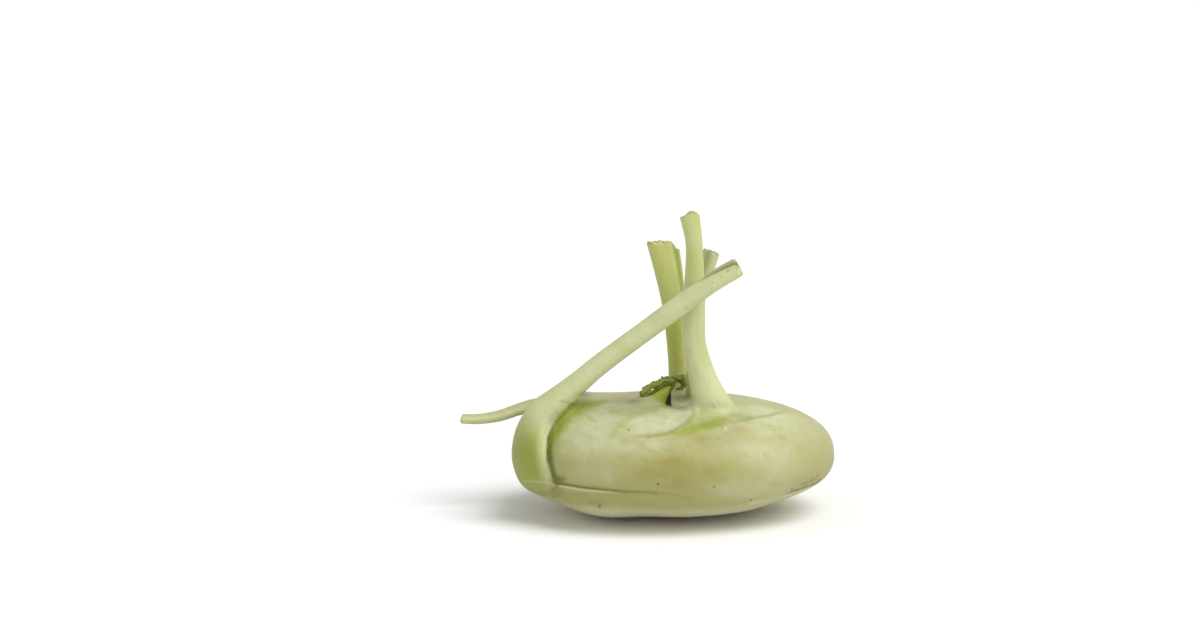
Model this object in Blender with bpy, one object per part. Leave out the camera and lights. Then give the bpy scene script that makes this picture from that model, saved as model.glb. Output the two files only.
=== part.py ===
"""A kohlrabi as bought: a swollen stem resting on its trimmed root, with cut leaf stalks and young leaves.

The frame: metres, +Z up, origin at the middle of the root disc that the bulb rests on.
-Y is the front, where the tall stalk rises, and -X is the side with the broad sheath.
"""

import math

import bmesh
import bpy
from mathutils import Vector

MM = 0.001

# The swollen stem
BULB_HALF_WIDTH = 49.2 * MM
BULB_HALF_DEPTH = 43.5 * MM
WAIST_HEIGHT = 17.6 * MM
CROWN_RISE = 17.9 * MM
BELLY_DROP = 17.3 * MM
FLATNESS = 2.2
CROWN_SQUARENESS = 2.5
BELLY_SQUARENESS = 2.1
ROOT_DISC_RADIUS = 12.5 * MM
ROOT_NECK_RADIUS = 14.0 * MM
ROOT_DISC_EDGE = 0.15 * MM
BELLY_GAP = 0.25 * MM
CROWN_TOP_ANGLE = math.radians(87.0)
BULB_AROUND = 72
BULB_UP = 30

# The gap that keeps two touching pieces apart
CLEARANCE = 0.3 * MM

# The leaf stalks
STALK_SIDES = 14
STALK_RINGS = 24
TORN_DEPTH = 0.7 * MM

# The young leaves
LEAF_THICKNESS = 0.9 * MM
LEAFLET_DROOP = 0.4
LEAFLET_FACING = (0.2, -0.4, 0.9)
TUFT_FACING = (0.3, -1.0, 0.3)
LEAF_TEETH = 4
LEAF_TOOTH_DEPTH = 0.22
LEAFLET_RINGS = 17
LEAFLET_SIDES = 8

# Each stalk is a list of stations from its root, inside the bulb, to its cut end:
# place of the centreline, width, thickness, depth of the channel and wrap round the bulb, in millimetres,
# then the way its outer face looks
STALKS = {
    "leaf_stalk_left": [
        ((-27.0, -10.5, 10.0), 15.0, 5.0, 0.0, 1.5, (-0.85, -0.40, -0.35)),
        ((-40.0, -15.8, 11.6), 23.0, 6.6, 0.0, 2.2, (-0.88, -0.42, -0.20)),
        ((-43.4, -16.3, 17.8), 23.0, 9.0, 0.0, 2.3, (-0.90, -0.42, 0.0)),
        ((-43.4, -16.0, 25.4), 18.0, 9.3, 0.2, 1.6, (-0.90, -0.42, 0.0)),
        ((-40.6, -15.8, 32.6), 11.4, 8.4, 0.5, 0.6, (-0.86, -0.50, 0.0)),
        ((-35.6, -16.6, 37.7), 8.2, 7.8, 0.6, 0.0, (-0.70, -0.70, 0.0)),
        ((-29.0, -17.4, 43.4), 6.9, 7.0, 0.6, 0.0, (-0.45, -0.80, -0.2)),
        ((-22.0, -18.2, 49.5), 6.4, 6.6, 0.7, 0.0, (-0.30, -0.85, -0.4)),
        ((-7.9, -20.0, 60.4), 6.2, 6.3, 0.8, 0.0, (0.0, -0.75, -0.6)),
        ((2.6, -21.3, 68.5), 6.7, 6.4, 0.9, 0.0, (0.2, -0.55, -0.7)),
        ((11.6, -22.3, 75.4), 7.6, 6.3, 1.6, 0.0, (0.45, 0.05, -0.85)),
        ((19.4, -23.0, 80.0), 7.2, 5.8, 2.2, 0.0, (0.5, 0.45, -0.75)),
    ],
    "leaf_stalk_front": [
        ((11.5, -13.5, 26.1), 19.0, 13.0, 0.0, 0.0, (0.0, -1.0, 0.1)),
        ((11.4, -15.0, 33.7), 16.0, 11.0, 0.0, 0.0, (0.0, -1.0, 0.1)),
        ((10.4, -15.2, 39.1), 11.0, 9.4, 0.3, 0.0, (0.1, -1.0, 0.0)),
        ((8.7, -14.6, 44.9), 8.5, 8.2, 0.6, 0.0, (0.15, -1.0, 0.0)),
        ((6.3, -13.6, 54.6), 7.2, 7.2, 0.8, 0.0, (0.2, -1.0, 0.0)),
        ((6.1, -12.6, 65.1), 7.0, 6.8, 0.9, 0.0, (0.2, -1.0, 0.0)),
        ((6.3, -11.6, 75.1), 6.0, 6.2, 0.9, 0.0, (0.1, -1.0, 0.0)),
        ((6.2, -10.8, 85.1), 5.2, 5.6, 0.8, 0.0, (0.0, -1.0, 0.0)),
        ((5.0, -10.2, 94.6), 5.9, 5.2, 0.8, 0.0, (-0.1, -1.0, 0.0)),
    ],
    "leaf_stalk_back": [
        ((3.4, 12.0, 27.1), 12.0, 9.0, 0.0, 0.0, (-0.3, 0.9, 0.1)),
        ((2.8, 12.6, 35.6), 9.0, 7.6, 0.2, 0.0, (-0.3, 0.9, 0.0)),
        ((2.2, 13.0, 42.1), 6.8, 6.2, 0.5, 0.0, (-0.3, 0.9, 0.0)),
        ((1.3, 13.2, 53.1), 6.6, 5.8, 0.7, 0.0, (-0.35, 0.9, 0.0)),
        ((0.3, 13.0, 64.1), 7.8, 5.6, 0.9, 0.0, (-0.4, 0.9, 0.0)),
        ((-1.3, 12.4, 74.1), 9.4, 5.4, 1.1, 0.0, (-0.45, 0.9, 0.0)),
        ((-3.1, 11.6, 82.8), 10.2, 5.0, 1.2, 0.0, (-0.45, 0.9, 0.0)),
    ],
    "leaf_stalk_rear": [
        ((7.6, 1.0, 27.1), 10.0, 8.0, 0.0, 0.0, (0.7, 0.7, 0.1)),
        ((7.4, 1.6, 35.6), 8.0, 6.8, 0.2, 0.0, (0.7, 0.7, 0.0)),
        ((6.9, 2.2, 43.1), 6.0, 5.6, 0.4, 0.0, (0.7, 0.7, 0.0)),
        ((6.6, 2.8, 55.1), 5.4, 5.0, 0.6, 0.0, (0.7, 0.7, 0.0)),
        ((7.6, 3.2, 66.1), 5.2, 4.8, 0.7, 0.0, (0.6, 0.7, 0.0)),
        ((11.8, 3.6, 80.7), 5.6, 4.6, 0.8, 0.0, (0.6, 0.7, 0.0)),
    ],
    "leaf_stalk_low": [
        ((-28.0, 15.5, 25.5), 10.0, 6.5, 0.0, 0.0, (0.0, 0.2, -1.0)),
        ((-35.5, 15.0, 29.3), 8.0, 5.0, 0.2, 0.0, (-0.2, 0.2, -1.0)),
        ((-41.6, 13.6, 31.0), 6.2, 4.2, 0.4, 0.0, (0.0, 0.2, -1.0)),
        ((-47.4, 12.2, 30.0), 5.6, 3.6, 0.5, 0.0, (0.0, 0.2, -1.0)),
        ((-53.6, 11.2, 28.1), 5.3, 3.4, 0.5, 0.0, (0.0, 0.2, -1.0)),
        ((-60.0, 10.4, 27.2), 5.0, 3.2, 0.5, 0.0, (0.0, 0.2, -1.0)),
        ((-65.5, 10.0, 27.3), 4.6, 3.0, 0.5, 0.0, (0.0, 0.2, -1.0)),
    ],
}

# The short green base of the young leaves, then each leaflet, as stations of place, width and thickness
TUFT_BASE = [
    ((-9.0, -8.0, 31.0), 13.0, 9.0),
    ((-7.2, -7.6, 35.0), 10.0, 7.0),
    ((-4.2, -6.8, 38.0), 6.4, 5.2),
    ((-0.8, -6.2, 41.0), 3.8, 3.4),
]
LEAFLETS = [
    [((-1.4, -6.2, 40.6), 2.4), ((-2.8, -6.6, 41.8), 2.8), ((-6.0, -7.2, 41.0), 3.2),
     ((-8.8, -8.0, 39.0), 3.0), ((-9.8, -8.6, 37.6), 1.2)],
    [((-1.0, -6.0, 40.8), 2.4), ((0.0, -5.6, 42.8), 3.6), ((2.2, -5.4, 43.4), 3.8), ((3.6, -5.2, 42.0), 1.4)],
    [((-0.6, -5.6, 40.6), 2.2), ((1.8, -4.6, 41.4), 3.4), ((3.4, -4.2, 39.6), 3.4), ((2.4, -4.4, 37.8), 1.2)],
    [((-1.4, -5.2, 40.4), 2.4), ((-2.4, -3.4, 42.4), 4.0), ((-4.2, -1.2, 42.6), 4.2), ((-6.0, 0.8, 40.6), 1.4)],
]

# Each material is a colour, a roughness and a metallic value
FLESH_GREEN = ((0.62, 0.66, 0.36), 0.48, 0.0)
STALK_GREEN = ((0.66, 0.71, 0.40), 0.45, 0.0)
LEAF_GREEN = ((0.10, 0.19, 0.02), 0.55, 0.0)


def clear_scene():
    for thing in list(bpy.data.objects):
        bpy.data.objects.remove(thing, do_unlink=True)


def make_material(name, finish):
    colour, roughness, metallic = finish
    material = bpy.data.materials.new(name)
    material.use_nodes = True
    shader = material.node_tree.nodes["Principled BSDF"]
    shader.inputs["Base Color"].default_value = (*colour, 1.0)
    shader.inputs["Roughness"].default_value = roughness
    shader.inputs["Metallic"].default_value = metallic
    material.diffuse_color = (*colour, 1.0)
    return material


def add_object(name, bm, material):
    """Turns a bmesh into a smooth-shaded object with its faces pointing out."""
    bmesh.ops.recalc_face_normals(bm, faces=bm.faces)
    mesh = bpy.data.meshes.new(name)
    bm.to_mesh(mesh)
    bm.free()
    mesh.shade_smooth()
    mesh.set_sharp_from_angle(angle=math.radians(50))
    mesh.materials.append(material)
    thing = bpy.data.objects.new(name, mesh)
    bpy.context.scene.collection.objects.link(thing)
    return thing


def smooth_step(low, high, value):
    share = min(1.0, max(0.0, (value - low) / (high - low)))
    return share * share * (3.0 - 2.0 * share)


def hump(value, middle, half_width):
    """A smooth bell that is 1 at the middle and fades out past the half width."""
    return math.exp(-(((value - middle) / half_width) ** 2))


def along(points, share):
    """A point on the smooth curve through a list of tuples, for a share from 0 to 1 of its length."""
    place = share * (len(points) - 1)
    index = min(int(place), len(points) - 2)
    t = place - index
    before = points[max(index - 1, 0)]
    start = points[index]
    end = points[index + 1]
    after = points[min(index + 2, len(points) - 1)]
    return tuple(
        0.5 * (2 * b + (c - a) * t + (2 * a - 5 * b + 4 * c - d) * t * t + (3 * b - a - 3 * c + d) * t ** 3)
        for a, b, c, d in zip(before, start, end, after)
    )


def sheath_bed(x, y, z):
    """How far the left side of the bulb is pulled in where the sheath of the left stalk lies on it."""
    across = smooth_step(-33.5 * MM, -40.0 * MM, x) * smooth_step(4.0 * MM, -6.0 * MM, y)
    up = smooth_step(8.0 * MM, 11.5 * MM, z) * smooth_step(37.0 * MM, 30.0 * MM, z)
    return 3.4 * MM * across * up


def front_shoulders(x, y, z):
    """The two raised wings that run from the foot of the front stalk, left and right along the crown."""
    front = smooth_step(-6.0 * MM, -14.0 * MM, y)
    left = hump(x, -2.0 * MM, 15.0 * MM) * hump(z, 32.0 * MM, 4.0 * MM) * smooth_step(10.0 * MM, 2.0 * MM, x)
    right = hump(x, 27.0 * MM, 13.0 * MM) * hump(z, 33.5 * MM, 3.5 * MM)
    foot = hump(x, 11.5 * MM, 9.0 * MM) * hump(z, 34.0 * MM, 4.5 * MM)
    return front * (1.1 * MM * left + 0.9 * MM * right + 1.6 * MM * foot)


def skin_folds(x, y, z):
    """The skin that stands proud below the long crease of the belly and the sheath, and the crown's hollow."""
    crease_height = 8.6 * MM - 0.07 * (x + 36.0 * MM)
    belly = smooth_step(crease_height + 1.2 * MM, crease_height - 1.2 * MM, z)
    belly *= smooth_step(-6.0 * MM, -14.0 * MM, y) * smooth_step(24.0 * MM, -10.0 * MM, x)
    corner = smooth_step(-20.0 * MM, -37.0 * MM, x) * smooth_step(13.0 * MM, 9.0 * MM, z)
    corner *= smooth_step(28.0 * MM, 8.0 * MM, y) * smooth_step(1.0 * MM, 7.0 * MM, z)
    hollow = hump(math.hypot(x + 1.0 * MM, y + 1.0 * MM), 0.0, 11.0 * MM) * smooth_step(25.0 * MM, 32.0 * MM, z)
    return 0.9 * MM * belly + 0.5 * MM * corner - 1.4 * MM * hollow


def left_swells(x, y, z):
    """The fuller left side: under the belly, on the crown, and where the left stalk leans over the bulb."""
    belly = hump(x, -24.0 * MM, 13.0 * MM) * smooth_step(12.0 * MM, 4.0 * MM, z)
    belly *= smooth_step(4.0 * MM, -10.0 * MM, y)
    high = smooth_step(24.0 * MM, 30.0 * MM, z)
    crown = hump(math.hypot((x + 24.0 * MM) / 10.0, (y - 3.0 * MM) / 14.0), 0.0, MM) * high
    web = hump(math.hypot(x + 31.0 * MM, y + 12.0 * MM), 0.0, 8.0 * MM) * high
    return 1.5 * MM * belly + 1.9 * MM * crown + 3.6 * MM * web


def bulb_point(turn, rise):
    """A point of the skin: turn is the angle round the axis, rise the angle up from the waist."""
    level = math.cos(rise)
    lift = abs(math.sin(rise))
    if rise >= 0.0:
        radius = level ** (2.0 / CROWN_SQUARENESS)
        z = WAIST_HEIGHT + CROWN_RISE * lift ** (2.0 / CROWN_SQUARENESS)
    else:
        radius = level ** (2.0 / BELLY_SQUARENESS)
        z = WAIST_HEIGHT - BELLY_DROP * lift ** (2.0 / BELLY_SQUARENESS)
    lumps = 1.0 + 0.012 * math.sin(2 * turn + 0.6) + 0.009 * math.sin(3 * turn + 2.1)
    x = BULB_HALF_WIDTH * radius * math.cos(turn) * lumps
    y = BULB_HALF_DEPTH * radius * math.sin(turn) * lumps
    outward = Vector((x, y, (z - WAIST_HEIGHT) * FLATNESS))
    if outward.length > 0.0:
        outward.normalize()
    swell = front_shoulders(x, y, z) + skin_folds(x, y, z) + left_swells(x, y, z) - sheath_bed(x, y, z)
    point = Vector((x, y, z)) + outward * swell
    point.z = max(point.z, BELLY_GAP)
    return point


def bulb_mesh(grow=0.0):
    """The bulb as rings of skin from the root's neck to the crown, with the flat root disc underneath."""
    bm = bmesh.new()
    neck_rise = -math.acos((ROOT_NECK_RADIUS / BULB_HALF_WIDTH) ** (BELLY_SQUARENESS / 2.0))
    rings = []
    for radius, z in ((ROOT_DISC_RADIUS, 0.0), (ROOT_DISC_RADIUS + ROOT_DISC_EDGE, ROOT_DISC_EDGE)):
        ring = []
        for step in range(BULB_AROUND):
            turn = 2 * math.pi * step / BULB_AROUND
            ring.append(bm.verts.new((radius * math.cos(turn), radius * math.sin(turn), z)))
        rings.append(ring)
    for level in range(BULB_UP):
        rise = neck_rise + (CROWN_TOP_ANGLE - neck_rise) * level / (BULB_UP - 1)
        ring = []
        for step in range(BULB_AROUND):
            ring.append(bm.verts.new(bulb_point(2 * math.pi * step / BULB_AROUND, rise)))
        rings.append(ring)
    for lower, upper in zip(rings, rings[1:]):
        for step in range(BULB_AROUND):
            after = (step + 1) % BULB_AROUND
            bm.faces.new((lower[step], lower[after], upper[after], upper[step]))
    bm.faces.new(rings[0])
    top = bm.verts.new(sum((vert.co for vert in rings[-1]), Vector()) / BULB_AROUND)
    for step in range(BULB_AROUND):
        bm.faces.new((rings[-1][step], rings[-1][(step + 1) % BULB_AROUND], top))
    bmesh.ops.recalc_face_normals(bm, faces=bm.faces)
    bmesh.ops.triangulate(bm, faces=[face for face in bm.faces if len(face.verts) == 4])
    if grow:
        bm.normal_update()
        moves = [(vert, vert.normal.copy()) for vert in bm.verts]
        for vert, normal in moves:
            vert.co += normal * grow
    return bm


def section(width, thickness, channel, wrap, sides):
    """One slice across a stalk: an oval with a channel on its inner side, wrapped round the bulb."""
    points = []
    for step in range(sides):
        turn = 2 * math.pi * step / sides
        across = 0.5 * width * math.cos(turn)
        out = 0.5 * thickness * math.sin(turn)
        if math.sin(turn) < 0.0:
            out += channel * math.exp(-((across / (0.3 * width)) ** 2))
        out -= wrap * (2.0 * across / width) ** 2
        points.append((across, out))
    return points


def sweep(stations, sides, rings, torn=0.0, teeth=0.0):
    """A closed solid through slices that stand across a smooth centreline, with a torn end or toothed edges."""
    bm = bmesh.new()
    flat = [(*place, *sizes) for place, *sizes in stations]
    loops = []
    for index in range(rings):
        share = index / (rings - 1)
        values = along(flat, share)
        ahead = along(flat, min(share + 0.01, 1.0))
        behind = along(flat, max(share - 0.01, 0.0))
        centre = Vector(values[:3]) * MM
        tangent = (Vector(ahead[:3]) - Vector(behind[:3])).normalized()
        width, thickness, channel, wrap = (value * MM for value in values[3:7])
        width *= 1.0 + teeth * math.cos(2 * math.pi * LEAF_TEETH * share)
        facing = Vector(values[7:10])
        outer = (facing - tangent * facing.dot(tangent)).normalized()
        side = outer.cross(tangent)
        loop = []
        for number, (across, out) in enumerate(section(width, thickness, channel, wrap, sides)):
            point = centre + side * across + outer * out
            if index == rings - 1:
                point += tangent * torn * math.sin(2.4 * number + 1.0)
            loop.append(bm.verts.new(point))
        loops.append(loop)
    for lower, upper in zip(loops, loops[1:]):
        for step in range(sides):
            after = (step + 1) % sides
            bm.faces.new((lower[step], lower[after], upper[after], upper[step]))
    for loop in (loops[0], loops[-1]):
        middle = bm.verts.new(sum((vert.co for vert in loop), Vector()) / sides)
        for step in range(sides):
            bm.faces.new((loop[step], loop[(step + 1) % sides], middle))
    bmesh.ops.recalc_face_normals(bm, faces=bm.faces)
    bmesh.ops.triangulate(bm, faces=bm.faces)
    return bm


def trim_to_bulb(thing, cutter):
    """Cuts away what lies inside the bulb, with the clearance that keeps the two pieces apart."""
    cut = thing.modifiers.new("trim to bulb", "BOOLEAN")
    cut.operation = "DIFFERENCE"
    cut.solver = "EXACT"
    cut.object = cutter


def make_bulb():
    material = make_material("flesh", FLESH_GREEN)
    bulb = add_object("bulb", bulb_mesh(), material)
    cutter = add_object("bulb_clearance", bulb_mesh(grow=CLEARANCE), material)
    cutter.hide_render = True
    cutter.display_type = "WIRE"
    return bulb, cutter


def make_stalks(cutter):
    for name, stations in STALKS.items():
        material = make_material(name + "_skin", STALK_GREEN)
        spread = [(place, *sizes, *facing) for place, *sizes, facing in stations]
        stalk = add_object(name, sweep(spread, STALK_SIDES, STALK_RINGS, TORN_DEPTH), material)
        trim_to_bulb(stalk, cutter)


def leaflet_stations(leaflet):
    """A leaflet's stations with the blade's thickness, the droop of its edges and the way that its face looks."""
    spread = []
    for place, width in leaflet:
        spread.append((place, width, LEAF_THICKNESS / MM, 0.0, LEAFLET_DROOP, *LEAFLET_FACING))
    return spread


def make_young_leaves(cutter):
    """The tuft: a short thick base with curled leaflets sunk into its top, joined into one solid."""
    material = make_material("young_leaf", LEAF_GREEN)
    base_stations = [(place, *sizes, 0.0, 0.0, *TUFT_FACING) for place, *sizes in TUFT_BASE]
    tuft = add_object("young_leaves", sweep(base_stations, STALK_SIDES, LEAFLET_RINGS), material)
    leaflets = bpy.data.collections.new("leaflets")
    bpy.context.scene.collection.children.link(leaflets)
    for number, leaflet in enumerate(LEAFLETS):
        blade = sweep(leaflet_stations(leaflet), LEAFLET_SIDES, LEAFLET_RINGS, teeth=LEAF_TOOTH_DEPTH)
        piece = add_object(f"leaflet_{number}", blade, material)
        bpy.context.scene.collection.objects.unlink(piece)
        leaflets.objects.link(piece)
    join = tuft.modifiers.new("join leaflets", "BOOLEAN")
    join.operation = "UNION"
    join.solver = "MANIFOLD"
    join.operand_type = "COLLECTION"
    join.collection = leaflets
    bpy.context.view_layer.update()
    joined = bpy.data.meshes.new_from_object(tuft.evaluated_get(bpy.context.evaluated_depsgraph_get()))
    tuft.modifiers.remove(join)
    tuft.data = joined
    for piece in list(leaflets.objects):
        bpy.data.objects.remove(piece, do_unlink=True)
    bpy.data.collections.remove(leaflets)
    trim_to_bulb(tuft, cutter)


clear_scene()
bulb_object, bulb_cutter = make_bulb()
make_stalks(bulb_cutter)
make_young_leaves(bulb_cutter)
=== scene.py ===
"""The looks of a kohlrabi: pale waxy flesh grown into its cut leaf stalks, young leaves and a woody root.

The flesh is one surface, so it is worked out as a field of distances on a grid of points, in millimetres,
in which the bulb and the stalks melt into each other. The skin's folds, scars and colours follow.
"""

import math

import bmesh
import bpy
import numpy as np
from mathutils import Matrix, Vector


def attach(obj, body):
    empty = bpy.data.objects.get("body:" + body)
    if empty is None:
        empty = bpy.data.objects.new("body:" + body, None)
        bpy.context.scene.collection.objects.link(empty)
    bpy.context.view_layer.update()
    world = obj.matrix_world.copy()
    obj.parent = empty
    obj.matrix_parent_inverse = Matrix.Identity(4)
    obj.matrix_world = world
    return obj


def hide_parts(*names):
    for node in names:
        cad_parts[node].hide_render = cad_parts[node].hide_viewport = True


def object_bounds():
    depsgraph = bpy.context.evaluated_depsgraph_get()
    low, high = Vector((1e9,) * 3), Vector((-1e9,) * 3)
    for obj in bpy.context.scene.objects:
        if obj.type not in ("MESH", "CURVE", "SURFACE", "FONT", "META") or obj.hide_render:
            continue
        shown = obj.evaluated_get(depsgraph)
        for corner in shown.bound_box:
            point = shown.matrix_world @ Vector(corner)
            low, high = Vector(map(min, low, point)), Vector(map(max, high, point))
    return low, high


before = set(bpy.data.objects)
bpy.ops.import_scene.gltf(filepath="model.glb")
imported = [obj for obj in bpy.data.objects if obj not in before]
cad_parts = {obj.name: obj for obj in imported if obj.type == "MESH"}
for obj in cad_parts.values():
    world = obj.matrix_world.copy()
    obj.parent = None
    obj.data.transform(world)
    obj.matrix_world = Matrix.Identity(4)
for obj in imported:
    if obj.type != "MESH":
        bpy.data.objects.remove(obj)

CAD_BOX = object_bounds()
MM = 0.001

# The grid's step, in millimetres
GRID_STEP = 0.58
GRID_MARGIN = 2.5

# Distances that stand for none found yet and for well inside
FAR = 1e9
WELL_INSIDE = -1e3

# How far the belly stays off the floor
FLOOR_GAP = 0.3

# The swollen stem, in millimetres
HALF_WIDTH = 49.2
HALF_DEPTH = 43.5
WAIST = 17.6
CROWN_RISE = 17.9
BELLY_DROP = 17.3
CROWN_SQUARENESS = 2.5
BELLY_SQUARENESS = 2.1

# The front is laid out as it is seen from a little above, at this angle and from this far away
VIEW_TILT = math.radians(9.0)
CAMERA_DISTANCE = 1400.0

# The photograph's scale, and where its middle falls on the object
PHOTO_WIDTH = 1200
PHOTO_HEIGHT = 630
MM_PER_PIXEL = 0.3096
BULB_MIDDLE_COLUMN = 672.5
FLOOR_ROW = 511.1
PICTURE_ACROSS = (PHOTO_WIDTH / 2 - BULB_MIDDLE_COLUMN) * MM_PER_PIXEL
PICTURE_UP = (FLOOR_ROW - PHOTO_HEIGHT / 2) * MM_PER_PIXEL

# The stalks' stations: place, width, thickness, channel depth, wrap round the bulb, squareness of the slice,
# and the way the outer face looks
STALKS = {
    "leaf_stalk_left": [
        ((-27.0, -10.5, 10.0), 15.0, 5.0, 0.0, 1.5, 2.2, (-0.85, -0.40, -0.35)),
        ((-40.0, -15.8, 11.6), 23.0, 6.6, 0.0, 2.2, 2.4, (-0.88, -0.42, -0.20)),
        ((-43.4, -16.3, 17.8), 23.0, 9.0, 0.0, 2.3, 2.6, (-0.90, -0.42, 0.0)),
        ((-43.4, -16.0, 25.4), 18.0, 9.3, 0.2, 1.6, 2.5, (-0.90, -0.42, 0.0)),
        ((-40.6, -15.8, 32.6), 11.4, 8.4, 0.5, 0.6, 2.3, (-0.86, -0.50, 0.0)),
        ((-35.6, -16.6, 37.7), 8.2, 7.8, 0.6, 0.0, 2.1, (-0.70, -0.70, 0.0)),
        ((-29.0, -17.4, 43.4), 6.9, 7.0, 0.6, 0.0, 2.0, (-0.45, -0.80, -0.2)),
        ((-22.0, -18.2, 49.5), 6.4, 6.6, 0.7, 0.0, 2.0, (-0.30, -0.85, -0.4)),
        ((-7.9, -20.0, 60.4), 6.2, 6.3, 0.8, 0.0, 2.0, (0.0, -0.75, -0.6)),
        ((2.6, -21.3, 68.5), 6.7, 6.4, 0.9, 0.0, 2.0, (0.2, -0.55, -0.7)),
        ((11.6, -22.3, 75.4), 7.6, 6.5, 1.6, 0.0, 2.0, (0.45, 0.10, -0.85)),
        ((19.4, -23.0, 80.0), 7.4, 6.0, 2.0, 0.0, 2.1, (0.5, 0.26, -0.75)),
    ],
    "leaf_stalk_front": [
        ((11.5, -13.5, 26.1), 19.0, 13.0, 0.0, 0.0, 2.0, (0.0, -1.0, 0.1)),
        ((11.4, -15.0, 33.7), 16.0, 11.0, 0.0, 0.0, 2.0, (0.0, -1.0, 0.1)),
        ((10.4, -15.2, 39.1), 11.0, 9.4, 0.3, 0.0, 2.0, (0.1, -1.0, 0.0)),
        ((8.7, -14.6, 44.9), 8.5, 8.2, 0.6, 0.0, 2.0, (0.15, -1.0, 0.0)),
        ((6.3, -13.6, 54.6), 7.2, 7.2, 0.8, 0.0, 2.0, (0.2, -1.0, 0.0)),
        ((6.1, -12.6, 65.1), 7.0, 6.8, 0.9, 0.0, 2.0, (0.2, -1.0, 0.0)),
        ((6.3, -11.6, 75.1), 6.0, 6.2, 0.9, 0.0, 2.0, (0.1, -1.0, 0.0)),
        ((6.2, -10.8, 85.1), 5.2, 5.6, 0.8, 0.0, 2.1, (0.0, -1.0, 0.0)),
        ((4.7, -10.2, 94.3), 6.3, 5.2, 0.8, 0.0, 2.2, (-0.1, -1.0, 0.0)),
    ],
    "leaf_stalk_back": [
        ((3.4, 12.0, 27.1), 12.0, 9.0, 0.0, 0.0, 2.0, (-0.3, 0.9, 0.1)),
        ((2.8, 12.6, 35.6), 9.0, 7.6, 0.2, 0.0, 2.0, (-0.3, 0.9, 0.0)),
        ((2.2, 13.0, 42.1), 6.8, 6.2, 0.5, 0.0, 2.0, (-0.3, 0.9, 0.0)),
        ((1.3, 13.2, 53.1), 6.6, 5.8, 0.7, 0.0, 2.1, (-0.35, 0.9, 0.0)),
        ((0.3, 13.0, 64.1), 7.8, 5.6, 0.9, 0.0, 2.2, (-0.4, 0.9, 0.0)),
        ((-1.3, 12.4, 74.1), 9.4, 5.4, 1.1, 0.0, 2.3, (-0.45, 0.9, 0.0)),
        ((-3.1, 11.6, 82.2), 10.2, 5.0, 1.2, 0.0, 2.4, (-0.45, 0.9, 0.0)),
    ],
    "leaf_stalk_rear": [
        ((7.6, 1.0, 27.1), 10.0, 8.0, 0.0, 0.0, 2.0, (0.7, 0.7, 0.1)),
        ((7.4, 1.6, 35.6), 8.0, 6.8, 0.2, 0.0, 2.0, (0.7, 0.7, 0.0)),
        ((6.9, 2.2, 43.1), 6.0, 5.6, 0.4, 0.0, 2.0, (0.7, 0.7, 0.0)),
        ((6.6, 2.8, 55.1), 5.4, 5.0, 0.6, 0.0, 2.0, (0.7, 0.7, 0.0)),
        ((7.6, 3.2, 66.1), 5.2, 4.8, 0.7, 0.0, 2.0, (0.6, 0.7, 0.0)),
        ((11.8, 3.6, 80.7), 5.6, 4.6, 0.8, 0.0, 2.2, (0.6, 0.7, 0.0)),
    ],
    "leaf_stalk_low": [
        ((-28.0, 15.5, 25.5), 10.0, 6.5, 0.0, 0.0, 2.0, (0.0, 0.2, -1.0)),
        ((-35.5, 15.0, 29.3), 8.0, 5.0, 0.2, 0.0, 2.0, (-0.2, 0.2, -1.0)),
        ((-41.6, 13.6, 31.0), 6.2, 4.2, 0.4, 0.0, 2.0, (0.0, 0.2, -1.0)),
        ((-47.4, 12.2, 30.0), 5.6, 3.6, 0.5, 0.0, 2.0, (0.0, 0.2, -1.0)),
        ((-53.6, 11.2, 28.1), 5.3, 3.4, 0.5, 0.0, 2.0, (0.0, 0.2, -1.0)),
        ((-60.0, 10.4, 27.2), 5.0, 3.2, 0.5, 0.0, 2.0, (0.0, 0.2, -1.0)),
        ((-65.5, 10.0, 27.3), 4.6, 3.0, 0.5, 0.0, 2.0, (0.0, 0.2, -1.0)),
    ],
    "tuft_base": [
        ((-10.5, -8.2, 32.0), 10.5, 8.0, 0.0, 0.0, 2.0, (0.3, -1.0, 0.3)),
        ((-6.3, -7.9, 35.4), 8.0, 5.4, 0.0, 0.0, 2.0, (0.3, -1.0, 0.3)),
        ((-4.8, -7.7, 37.1), 6.0, 4.2, 0.0, 0.0, 2.0, (0.3, -1.0, 0.3)),
        ((-3.5, -7.4, 38.5), 4.8, 3.6, 0.0, 0.0, 2.0, (0.3, -1.0, 0.3)),
        ((-2.3, -7.1, 39.7), 3.7, 3.0, 0.0, 0.0, 2.0, (0.3, -1.0, 0.3)),
        ((-0.8, -6.5, 41.4), 2.3, 2.3, 0.0, 0.0, 2.0, (0.3, -1.0, 0.3)),
    ],
}

# How much wider the left stalk's fillet is where it leaves the bulb
UPPER_MELT = 3.5

# How far each stalk's end stands above its last station, along the slice's width, in millimetres
END_EDGES = {
    "leaf_stalk_left": [(-3.5, -0.3), (0.0, 0.0), (3.5, -0.8)],
    "leaf_stalk_front": [(-2.9, -1.1), (-2.1, -0.3), (-1.0, 0.8), (-0.2, 0.6), (1.0, -0.1), (2.2, -0.9),
                         (3.2, -0.9)],
    "leaf_stalk_back": [(-5.0, 1.9), (-2.5, 1.1), (0.0, 0.5), (2.4, -0.4), (3.2, -1.2), (3.9, -4.2),
                        (5.5, -4.6)],
    "leaf_stalk_rear": [(-2.6, -0.6), (-1.6, 0.3), (0.0, 0.1), (1.8, 0.1), (2.6, -0.1)],
    "leaf_stalk_low": [(-2.3, 0.5), (2.3, -0.5)],
    "tuft_base": [(-1.0, 0.0), (1.0, 0.0)],
}

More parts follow.
